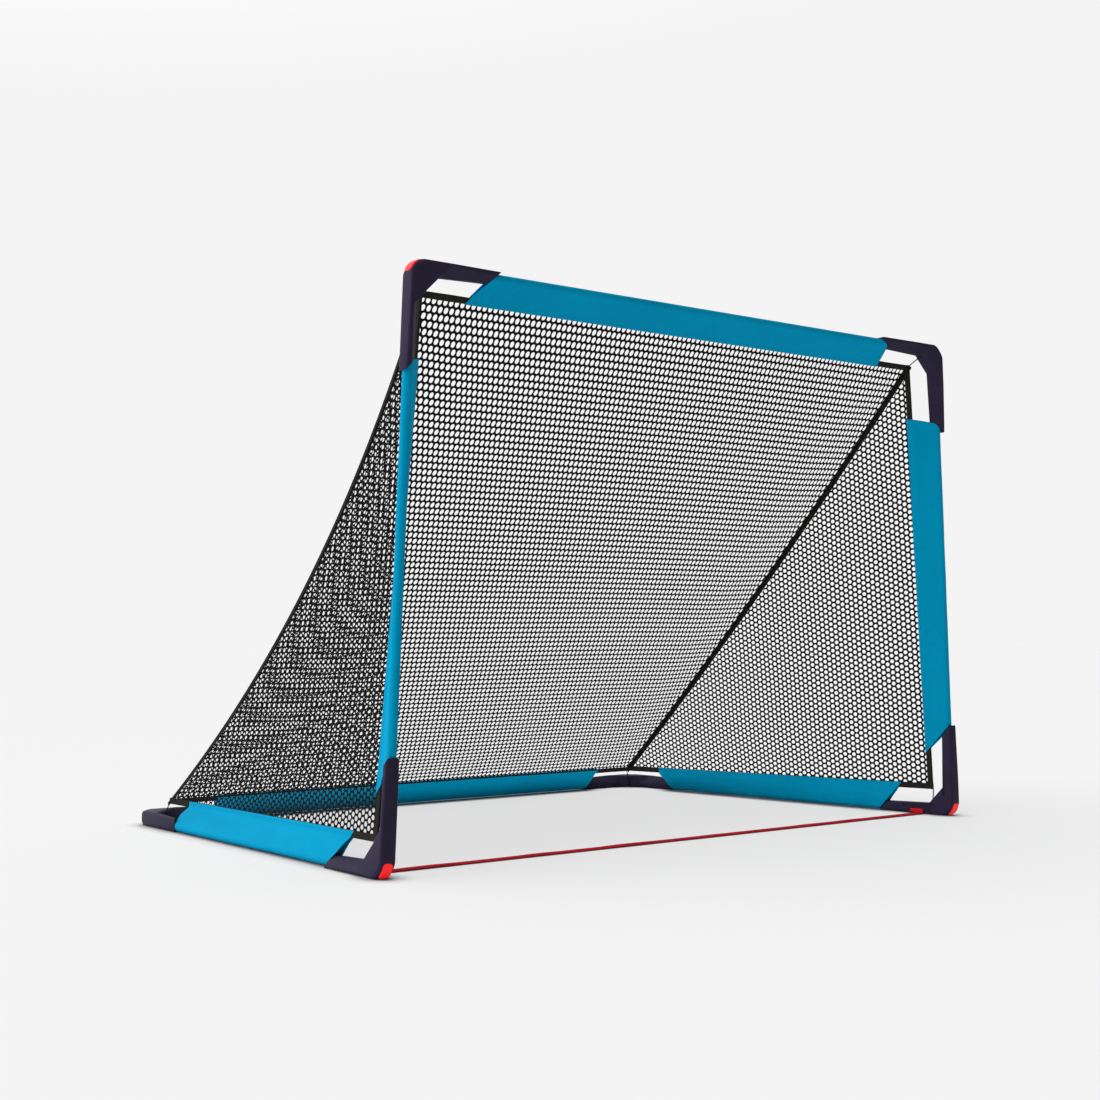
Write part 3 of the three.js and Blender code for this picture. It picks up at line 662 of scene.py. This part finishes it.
def sleeve(name, pole, net_edge, beside, normal, seed, slanting=(FOOT_SLANT, FAR_SLANT),
           arms=(FOOT_ARM, ARM), nose=NOSE, mat="sleeve"):
    """A cloth sleeve round a pole, its tail sewn over a net's edge, with its stitching. pole and
    net_edge are pairs of points, and beside what each end's bracket also reaches toward."""
    (p0, p1), (n0, n1) = pole, net_edge
    along = p1 - p0
    length = along.length
    along.normalize()
    run = n1 - n0
    edge = run.normalized()
    into = normal.cross(edge)
    if into.dot(n0 - p0) < 0:
        into.negate()
    start_at, stop_at = arms[0] - REACH + 1.0, length - arms[1] + REACH - 1.0
    slants = []
    for q, b in zip(pole, beside):
        w = b - q
        slants.append((w - along * w.dot(along)).normalized())

    def section(s):
        centre = p0 + along * s
        way = n0 + run * ((centre - n0).dot(along) / run.dot(along)) - centre
        reach = way.length
        way.normalize()
        across = along.cross(way)
        net_way = Vector((into.dot(way), into.dot(across))).normalized()
        pts = face_line(nose + CLOTH, PLY + CLOTH, reach, net_way)
        pts += face_line(nose, PLY, reach, net_way)[::-1]
        out = []
        for p in pts:
            near = min(1.0, max(0.0, (p.x - 7.0) / 12.0)) * min(1.0, max(0.0, (reach - p.x) / 8.0))
            fold = 1.5 * noise.noise(Vector((s * 0.014 + seed, p.x * 0.05, seed)))
            pucker = 0.5 * noise.noise(Vector((s * 0.07, p.x * 0.06, seed + 9)))
            loose = 0.25 * noise.noise(Vector((s * 0.02, p.y * 0.1, seed + 4)))
            h = p.y + near * (fold + pucker) + loose
            out.append(centre + way * (p.x + loose) + across * h)
        return centre, out

    def end_offsets(s, slant, sign, much):
        """How far each point of an end lies from s along the pole, as the end leans."""
        centre, pts = section(s)
        tail_slant = (much * TAIL_FAR - FOOT_SLANT * TIP_W) / (TAIL_FAR - TIP_W)
        out = []
        for p in pts:
            t = (p - centre).dot(slant) + REACH
            out.append(sign * (FOOT_SLANT * min(t, TIP_W) + max(0.0, t - TIP_W) * tail_slant))
        return out

    starts = end_offsets(start_at, slants[0], -1, slanting[0])
    stops = end_offsets(stop_at, slants[1], 1, slanting[1])
    stations = max(24, int((stop_at - start_at) / 12))
    rings = []
    for i in range(stations + 1):
        sections = {}
        ring = []
        for j, (start, stop) in enumerate(zip(starts, stops)):
            a, b = start_at + start, stop_at + stop
            s = round(a + (b - a) * (i / stations), 1)
            if s not in sections:
                sections[s] = section(s)[1]
            ring.append(sections[s][j])
        rings.append(ring)
    cloth = loft(name + "_cloth", rings, mat, angle=60)
    own(cloth, [name + "_sleeve"])
    stitches = stitching(name + "_cloth_stitching", rings, stations)
    # the flat size, measured on the cloth as it is built
    half = len(starts) // 2
    mid = rings[stations // 2]
    around = sum((mid[j + 1] - mid[j]).length for j in range(half - 1))
    both = sum((rings[k + 1][j] - rings[k][j]).length for j in (0, half // 2) for k in range(stations))
    return cloth, stitches, (around * MM, both / 2 * MM)


def inside_of(poly):
    """The inward normals of a polygon's edges, and the distances of points inside each edge."""
    d = np.roll(poly, -1, axis=0) - poly
    d /= np.linalg.norm(d, axis=1)[:, None]
    normals = np.stack([-d[:, 1], d[:, 0]], axis=1)
    if ((poly.mean(axis=0) - poly[0]) @ normals[0]) < 0:
        normals = -normals
    offsets = (poly * normals).sum(axis=1) + NET_CUT

    def dist(p):
        return (p @ normals.T) - offsets[None, :]

    return normals, dist


def cell_middles(low, high, pitch, turned):
    """The middles of the openings; alternate rows are set over by half a pitch."""
    px, py = pitch
    size = high - low
    rows, places = (size[0], size[1]) if turned else (size[1], size[0])
    cells = []
    for a in range(-1, int(rows / py) + 3):
        for b in range(-1, int(places / px) + 3):
            along_row = b * px + (px / 2 if a % 2 else 0.0)
            across_row = a * py
            cells.append((across_row, along_row) if turned else (along_row, across_row))
    return np.array(cells) + low


def cell_shape(pitch, hole):
    """A cell's six-sided outline, which it shares with its neighbours, and its rounded opening."""
    px, py = pitch
    half = px / 2
    slant = 2 * py / 3.0
    hexa = np.array([[half, slant / 2], [0, py - slant / 2], [-half, slant / 2],
                     [-half, -slant / 2], [0, -(py - slant / 2)], [half, -slant / 2]])
    turns = 2 * np.pi * (np.arange(HOLE_SIDES) + 0.5) / HOLE_SIDES
    base = []
    for t in turns:
        ray = np.array([math.cos(t), math.sin(t)])
        best = math.inf
        for i in range(6):
            a, b = hexa[i], hexa[(i + 1) % 6]
            e = b - a
            m = np.array([[ray[0], -e[0]], [ray[1], -e[1]]])
            if abs(np.linalg.det(m)) < 1e-9:
                continue
            r, q = np.linalg.solve(m, a)
            if r > 0 and -1e-6 <= q <= 1 + 1e-6:
                best = min(best, r)
        base.append(ray * best)
    wide, high = hole
    oval = np.stack([np.cos(turns) * wide / 2, np.sin(turns) * high / 2], axis=1)
    scale = np.array([wide / 2 / half, high / 2 / (py - slant / 2)])
    opening = 0.5 * np.array(base) * scale[None, :] + 0.5 * oval
    after = np.roll(opening, -1, axis=0)
    area = abs((opening[:, 0] * after[:, 1] - opening[:, 1] * after[:, 0]).sum()) / 2
    return hexa, opening * math.sqrt(OPEN_SHARE * px * py / area)


def cell_triangles(hexa, opening):
    """The triangles between a cell's outline and its opening, joined in order of their turn."""
    full = 2 * np.pi
    hex_turn = np.arctan2(hexa[:, 1], hexa[:, 0]) % full
    hole_turn = np.arctan2(opening[:, 1], opening[:, 0]) % full
    outer = list(np.argsort(hex_turn))
    inner = list(np.argsort(hole_turn))
    outer_turn = [hex_turn[q] for q in outer] + [hex_turn[outer[0]] + full]
    inner_turn = [hole_turn[q] for q in inner] + [hole_turn[inner[0]] + full]
    tris = []
    i = j = 0
    while i < 6 or j < HOLE_SIDES:
        out_at, in_at = outer[i % 6], inner[j % HOLE_SIDES]
        if j >= HOLE_SIDES or (i < 6 and outer_turn[i + 1] < inner_turn[j + 1]):
            tris.append((out_at, outer[(i + 1) % 6], 6 + in_at))
            i += 1
        else:
            tris.append((out_at, 6 + inner[(j + 1) % HOLE_SIDES], 6 + in_at))
            j += 1
    return np.array(tris)


def mesh_from(name, points, triangles):
    me = bpy.data.meshes.new(name)
    me.vertices.add(len(points))
    me.vertices.foreach_set("co", points.astype(np.float32).ravel())
    me.loops.add(len(triangles) * 3)
    me.loops.foreach_set("vertex_index", triangles.astype(np.int32).ravel())
    me.polygons.add(len(triangles))
    starts = np.arange(0, len(triangles) * 3, 3, dtype=np.int32)
    me.polygons.foreach_set("loop_start", starts)
    me.update(calc_edges=True)
    me.validate()
    return me


def mesh_net(name, node, corner_pts, origin, ex, ey, normal, pitch, hole, turned, sag, bend):
    """A sheet of rounded six-sided openings inside a polygon, and its area. pitch is the step along
    the rows and between them, sag a slight swell and bend the nets' hang."""
    poly = np.array([[(p - origin).dot(ex), (p - origin).dot(ey)] for p in corner_pts])
    normals, dist = inside_of(poly)
    low, high = poly.min(axis=0), poly.max(axis=0)
    cells = cell_middles(low, high, pitch, turned)
    cells = cells[dist(cells).min(axis=1) > NET_CLEAR]
    hexa, opening = cell_shape(pitch, hole)
    if turned:
        hexa, opening = hexa[:, ::-1], opening[:, ::-1]
    ring = np.concatenate([hexa, opening])
    flat = (cells[:, None, :] + ring[None, :, :]).reshape(-1, 2)
    # vertices beyond the sewn edge are drawn back to it
    for _ in range(2):
        beyond = dist(flat)
        for i in range(len(poly)):
            under = np.minimum(beyond[:, i], 0.0)
            flat = flat - under[:, None] * normals[i][None, :]
            beyond = dist(flat)
    # shared corners are one vertex
    key = np.round(flat * 50).astype(np.int64)
    unique, inverse = np.unique(key, axis=0, return_inverse=True)
    inverse = inverse.reshape(-1)
    pos = np.zeros((len(unique), 2))
    pos[inverse] = flat
    tris = cell_triangles(hexa, opening)
    first = np.arange(len(cells))[:, None, None] * len(ring)
    tris = inverse[(first + tris[None, :, :]).reshape(-1, 3)]
    a, b, c = tris.T
    tris = tris[(a != b) & (b != c) & (a != c)]
    u, v = ((pos - low) / (high - low)).T
    bulge = np.clip(dist(pos).min(axis=1) / 120.0, 0, 1)
    bulge = bulge * bulge * (3 - 2 * bulge)
    wave = np.sin(u * 9.1 + v * 3.7) * 0.5 + np.sin(v * 13.3 - u * 5.1) * 0.35
    height = bulge * (sag + 1.2 * wave)
    xyz = np.array(origin)[None, :] + pos[:, :1] * np.array(ex) + pos[:, 1:] * np.array(ey)
    xyz = xyz + height[:, None] * np.array(normal)
    xyz = (xyz + bend(xyz)) * MM
    o = bpy.data.objects.new(name, mesh_from(name, xyz, tris))
    bpy.context.scene.collection.objects.link(o)
    o.data.materials.append(MAT["net"])
    own(o, [node])
    one = xyz[tris[:, 1]] - xyz[tris[:, 0]]
    two = xyz[tris[:, 2]] - xyz[tris[:, 0]]
    return o, float(np.linalg.norm(np.cross(one, two), axis=1).sum() / 2)


def tape(name, node, p0, p1, inward, normal, cuts, seed):
    """A tape folded over a net's edge, with slightly uneven edges. cuts are left off its ends."""
    along = p1 - p0
    length = along.length
    along.normalize()
    run = length - cuts[0] - cuts[1]
    count = max(12, int(run / 12))
    rings = []
    for i in range(count + 1):
        s = cuts[0] + run * i / count
        far = BIND_W + 0.35 * noise.noise(Vector((s * 0.05, seed, 1.0)))
        lift = 0.3 * noise.noise(Vector((s * 0.03, seed, 7.0)))
        c = p0 + along * s
        side = [(0.0, 0.6), (0.7, 1.0), (far - 0.8, 1.0), (far, 0.55)]
        profile = [(x, -h * TAPE_HALF) for x, h in side] + [(x, h * TAPE_HALF) for x, h in side[::-1]]
        rings.append([c + inward * x + normal * (y + lift) for x, y in profile])
    return own(loft(name, rings, "tape", angle=40), [node])


# ---------- the six brackets ----------
tie_ends = {}
for side, word in SIDES:
    c, o = C[side], C[-side]
    tie_ends[word, "top"] = bracket(side, word, "top", o["top"], c["front"])
    tie_ends[word, "front"] = bracket(side, word, "front", c["rear"], c["top"])
    tie_ends[word, "rear"] = bracket(side, word, "rear", c["front"], o["rear"])

# ---------- the nets' hang ----------
slope = (L["net_rear"] - L["net_top"]).normalized()
back_normal = (L["net_rear"] - L["net_top"]).cross(Vector((-1, 0, 0))).normalized()
HANG = {side: Vector((-side * BOW_IN, 0, 0)) - back_normal * BOW_DOWN for side, _ in SIDES}


def side_bend(side):
    """A side net's hang: most at the middle of the edge it shares with the back net."""
    c = C[side]
    one, two = (np.array(c[k] - c["net_front"]) for k in ("net_top", "net_rear"))
    shares = np.linalg.pinv(np.stack([one, two], axis=1))

    def bend(points):
        top_share, rear_share = shares @ (points - np.array(c["net_front"])).T
        return (4 * top_share * rear_share)[:, None] * np.array(HANG[side])

    return bend


def back_bend(points):
    """The back net's hang, drawn in at the sides."""
    half = R["net_top"].x
    v = (points - np.array(L["net_top"])) @ np.array(slope) / (L["net_rear"] - L["net_top"]).length
    u = (points[:, 0] + half) / (2 * half)
    drawn = np.zeros_like(points)
    drawn[:, 0] = BOW_IN * ((1 - u) ** 3 - u ** 3)
    return (4 * v * (1 - v))[:, None] * (drawn - np.array(back_normal) * BOW_DOWN)


# ---------- sleeves of the two long bars ----------
beside_long = (L["front"], R["front"])
for bar, corner, seed, look in (
    ("crossbar", "top", 1.0, dict(slanting=CROSS_SLANTS)),
    # the rear sleeve takes the copy of the cloth painted lighter against its shade
    ("rear", "rear", 2.0, dict(slanting=(FAR_SLANT, FAR_SLANT), nose=LOOSE_NOSE, mat="rear_sleeve")),
):
    ends = [(L[key], R[key]) for key in (corner, "net_" + corner)]
    cloth, stitches, flat = sleeve(bar, *ends, beside_long, back_normal, seed, arms=(ARM, ARM), **look)


# ---------- the sides ----------
def seam_tape(side, word, out):
    """An angle of tape over the edge where a side net and the back net meet."""
    c = C[side]
    in_back = Vector((-side, 0, 0))
    in_side = out.cross(slope).normalized()
    if in_side.dot(c["net_front"] - c["net_top"]) < 0:
        in_side.negate()
    length = (c["net_rear"] - c["net_top"]).length
    rings = []
    for i in range(SEAM_STEPS + 1):
        s = length * i / SEAM_STEPS
        t = s / length
        p = c["net_top"] + slope * s + HANG[side] * (4 * t * (1 - t))
        on_back = p + in_back * (SEAM + 0.2 * noise.noise(Vector((s * 0.05, side, 3.0))))
        on_side = p + in_side * (SEAM + 0.2 * noise.noise(Vector((s * 0.05, side, 4.0))))
        rings.append([
            on_back + back_normal * SEAM_INNER,
            on_back + back_normal * SEAM_OUTER,
            p + back_normal * SEAM_OUTER + out * SEAM_OUTER * 0.5,
            p + back_normal * SEAM_OUTER * 0.5 + out * SEAM_OUTER,
            on_side + out * SEAM_OUTER,
            on_side + out * SEAM_INNER,
            p + back_normal * SEAM_INNER + out * SEAM_INNER,
        ])
    return own(loft(f"{word}_seam_tape", rings, "tape", angle=40), [f"{word}_seam"])


def goal_side(side, word):
    """A side's two sleeves, its tapes and its net."""
    c, o = C[side], C[-side]
    ahead = c["net_top"] - c["net_front"]
    behind = c["net_rear"] - c["net_front"]
    out = behind.cross(ahead).normalized()
    if out.x * side < 0:
        out.negate()
    for bar, far, beside, seed, nose in (
        ("post", "top", (c["rear"], o["top"]), 3.5, NOSE),
        ("base", "rear", (c["top"], o["rear"]), 3.0, LOOSE_NOSE),
    ):
        cloth, stitches, flat = sleeve(
            f"{word}_{bar}", (c["front"], c[far]), (c["net_front"], c["net_" + far]), beside, out,
            side + seed, nose=nose,
        )
    fwd, bak = ahead.normalized(), behind.normalized()
    in_front = (bak - fwd * bak.dot(fwd)).normalized()
    in_base = (fwd - bak * fwd.dot(bak)).normalized()
    front_tape = tape(f"{word}_front_tape", f"{word}_net_front_binding", c["net_front"],
                      c["net_top"], in_front, out, (0.0, 6.0), side + 5.0)
    base_tape = tape(f"{word}_base_tape", f"{word}_net_base_binding", c["net_front"],
                     c["net_rear"], in_base, out, (0.0, 6.0), side + 8.0)
    seam = seam_tape(side, word, out)
    level = Vector((0, 1, 0))
    level = (level - out * level.dot(out)).normalized()
    upright = out.cross(level).normalized()
    if upright.z < 0:
        upright.negate()
    net, area = mesh_net(f"{word}_side_mesh", f"{word}_net",
                         [c["net_front"], c["net_rear"], c["net_top"]], c["net_front"], level,
                         upright, out, SIDE_PITCH, SIDE_HOLE, True, -1.5, side_bend(side))
    return SimpleNamespace(net=net, area=area, flat=(ahead.length * MM, behind.length * MM),
                           tapes=[front_tape, base_tape], seam=seam)


built = {word: goal_side(side, word) for side, word in SIDES}

# ---------- the back ----------
back_net, back_area = mesh_net("back_mesh", "back_net",
                               [L["net_top"], R["net_top"], R["net_rear"], L["net_rear"]],
                               L["net_rear"], Vector((1, 0, 0)), -slope, back_normal, BACK_PITCH,
                               BACK_HOLE, False, -4.0, back_bend)
back_tapes = [
    tape("back_top_tape", "back_net_top_binding", L["net_top"], R["net_top"], slope, back_normal,
         (2.0, 2.0), 11.0),
    tape("back_base_tape", "back_net_base_binding", L["net_rear"], R["net_rear"], -slope,
         back_normal, (2.0, 2.0), 12.0),
]


def net_sheet(net, flat, area, pieces):
    least = LEAST_AREA_SHARE * flat[0] * flat[1]
    max(area, least)
    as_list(pieces)


back_flat = ((R["net_top"] - L["net_top"]).length * MM, (L["net_rear"] - L["net_top"]).length * MM)
net_sheet(back_net, back_flat, back_area,
          [*back_tapes, built["left"].seam, built["right"].seam])
for word, part in built.items():
    net_sheet(part.net, part.flat, part.area,
              part.tapes)

# ---------- ties ----------
for side, word in SIDES:
    for where in ("top", "front", "rear"):
        start = C[side]["net_" + where]
        d = tie_ends[word, where] - start
        bow = d.cross(Vector((0, 0, 1))).normalized() * 0.4
        steps = [i / 10 for i in range(11)]
        pts = [start - d * 0.08 + d * 1.15 * t + bow * math.sin(math.pi * t) for t in steps]
        tie = tube(f"{word}_{where}_elastic", pts, TIE_R, "tie")
        own(tie, [f"{word}_{where}_net_tie"])


# ---------- floor strap ----------
def floor_strap():
    """The strap across the mouth, its ends wider and turned up into the front brackets' slots."""
    end_x = (Vector(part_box("floor_strap")[1]) / MM).x - 2.5
    path = []
    for i in range(STRAP_STEPS + 1):
        x = -end_x + 0.8 + (2 * end_x - 1.6) * i / STRAP_STEPS
        edge = min(1.0, (end_x - abs(x)) / 60.0)
        z = 0.3 + max(0.0, 1.1 * noise.noise(Vector((x * 0.012, 3.3, 0)))) * edge
        y = FRONT_Y + STRAP_BACK + 0.9 * noise.noise(Vector((x * 0.006, 8.1, 0))) * edge
        path.append((x, y, z))
    turned_up = ((end_x, 3.0), (end_x, STRAP_END_Z), (end_x + 2.2, STRAP_END_Z))
    path = ([(-x, path[0][1], z) for x, z in turned_up[::-1]] + path
            + [(x, path[-1][1], z) for x, z in turned_up])
    section = ((-8, 0.25), (-7.6, 0), (7.6, 0), (8, 0.25), (8, STRAP_THICK - 0.25),
               (7.6, STRAP_THICK), (-7.6, STRAP_THICK), (-8, STRAP_THICK - 0.25))
    last = len(path) - 1
    rings = []
    for i, p in enumerate(path):
        t = (Vector(path[min(last, i + 1)]) - Vector(path[max(0, i - 1)])).normalized()
        up = t.cross(Vector((0, 1, 0))).normalized()
        spread = max(0.0, 1 - max(0, min(i, last - i) - 2) / 2)
        rings.append([Vector(p) + Vector((0, dy * (1 + 0.75 * spread) + 11 * spread, 0)) + up * h
                      for dy, h in section])
    strap = own(loft("mouth_strap", rings, "strap", angle=40), ["floor_strap"])


floor_strap()

# ---------- poles ----------
pole_names = [f"{word}_{bar}_pole" for _, word in SIDES for bar in ("post", "base", "crossbar", "rear")]
for name in [*pole_names, "crossbar_ferrule", "rear_ferrule"]:
    slots = bpy.data.objects[name].data.materials
    slots.clear()
    slots.append(MAT["pole"])

# ---------- floor ----------
FLOOR_HALF = 30.0  # metres
FLOOR_Z = -0.0006
FLOOR_GREY = 0.296
FLOOR_GLOW = 0.583


def floor_material():
    """A pale sweep that glows a little, less so where something stands on it: a painted contact shadow.
    """
    m = bpy.data.materials.new("floor")
    m.use_nodes = True
    nt = m.node_tree
    bsdf = nt.nodes["Principled BSDF"]
    bsdf.inputs["Base Color"].default_value = (FLOOR_GREY, FLOOR_GREY, FLOOR_GREY, 1)
    bsdf.inputs["Roughness"].default_value = 0.9
    bsdf.inputs["Specular IOR Level"].default_value = 0.0
    bsdf.inputs["Emission Color"].default_value = (1.0, 1.0, 1.0, 1)
    # ambient occlusion dims the glow close to what stands on the floor: painted contact shadow
    near = nt.nodes.new("ShaderNodeAmbientOcclusion")
    near.samples = 8
    near.inputs["Distance"].default_value = 0.035
    glow = nt.nodes.new("ShaderNodeMapRange")
    glow.inputs["From Min"].default_value = 0.5
    glow.inputs["From Max"].default_value = 0.95
    glow.inputs["To Max"].default_value = FLOOR_GLOW
    nt.links.new(near.outputs["AO"], glow.inputs["Value"])
    nt.links.new(glow.outputs[0], bsdf.inputs["Emission Strength"])
    return m


floor_mesh = bpy.data.meshes.new("floor")
around = ((-1, -1), (1, -1), (1, 1), (-1, 1))
floor_mesh.from_pydata([(x * FLOOR_HALF, y * FLOOR_HALF, FLOOR_Z) for x, y in around], [],
                       [(0, 1, 2, 3)])
floor = bpy.data.objects.new("floor", floor_mesh)
bpy.context.scene.collection.objects.link(floor)
floor_mesh.materials.append(floor_material())

# ---------- light ----------
BACKDROP_TURN = 0.672  # radians from straight behind the goal, close to the camera's own turn
BACKDROP_LEVEL = 0.905

world = bpy.data.worlds.new("studio")
bpy.context.scene.world = world
bpy.context.scene.view_settings.view_transform = "Standard"
world.use_nodes = True
studio = world.node_tree
background = studio.nodes["Background"]
view_way = studio.nodes.new("ShaderNodeTexCoord")


def lobe(direction, low, high, dim, bright):
    """Light from one side of the studio: bright towards direction, dim away from it."""
    dot = studio.nodes.new("ShaderNodeVectorMath")
    dot.operation = "DOT_PRODUCT"
    dot.inputs[1].default_value = tuple(Vector(direction).normalized())
    studio.links.new(view_way.outputs["Generated"], dot.inputs[0])
    ramp = studio.nodes.new("ShaderNodeMapRange")
    ramp.interpolation_type = "SMOOTHSTEP"
    ramp.inputs["From Min"].default_value = low
    ramp.inputs["From Max"].default_value = high
    ramp.inputs["To Min"].default_value = dim
    ramp.inputs["To Max"].default_value = bright
    studio.links.new(dot.outputs["Value"], ramp.inputs["Value"])
    return ramp.outputs[0]


def combine(operation, one, other):
    node = studio.nodes.new("ShaderNodeMath")
    node.operation = operation
    studio.links.new(one, node.inputs[0])
    studio.links.new(other, node.inputs[1])
    return node.outputs[0]


toward_backdrop = (math.sin(BACKDROP_TURN), math.cos(BACKDROP_TURN), 0.0)
backdrop = lobe(toward_backdrop, 0.5, 0.86, 0.05, BACKDROP_LEVEL)
skirting = lobe((0.0, 0.0, 1.0), 0.02, 0.2, BACKDROP_LEVEL, 0.0)
total = combine("MAXIMUM", backdrop, skirting)
total = combine("ADD", total, lobe((-1.0, 0.45, 0.3), 0.4, 0.95, 0.0, 2.4))
total = combine("ADD", total, lobe((0.0, 0.2, 1.0), 0.45, 0.9, 0.0, 0.9))
background.inputs["Color"].default_value = (1.0, 1.0, 1.0, 1)
studio.links.new(total, background.inputs["Strength"])

OVERHEAD_AT = Vector((-1.2, 0.6, 4.2))

lamp = bpy.data.lights.new("overhead", "AREA")
lamp.shape = "RECTANGLE"
lamp.size, lamp.size_y = 6.0, 6.0
lamp.energy = 12
overhead = bpy.data.objects.new("overhead", lamp)
bpy.context.scene.collection.objects.link(overhead)
overhead.location = OVERHEAD_AT
overhead.rotation_euler = (-OVERHEAD_AT).to_track_quat("-Z", "Y").to_euler()

# ---------- camera ----------
CAMERA_AT = (-1.7889, -2.2268, 0.3172)
CAMERA_TURNS = (38.8929, 2.9323, -0.1917)  # yaw, pitch and roll in degrees
SENSOR = 36.0
FOCAL_PX = 1658.43  # the focal length in pixels of the photograph
PHOTO_PX = 1100

yaw, pitch, roll = (math.radians(a) for a in CAMERA_TURNS)
ahead = Vector((math.sin(yaw) * math.cos(pitch), math.cos(yaw) * math.cos(pitch), math.sin(pitch)))
level = Vector((math.cos(yaw), -math.sin(yaw), 0))
above = level.cross(ahead)
right = level * math.cos(roll) + above * math.sin(roll)
up = above * math.cos(roll) - level * math.sin(roll)
cam_data = bpy.data.cameras.new("camera")
cam_data.sensor_width = SENSOR
cam_data.sensor_fit = "HORIZONTAL"
cam_data.lens = FOCAL_PX / PHOTO_PX * SENSOR
cam = bpy.data.objects.new("camera", cam_data)
bpy.context.scene.collection.objects.link(cam)
rows = [(right[k], up[k], -ahead[k], CAMERA_AT[k]) for k in range(3)]
cam.matrix_world = Matrix((*rows, (0, 0, 0, 1)))
bpy.context.scene.camera = cam

bpy.context.view_layer.update()
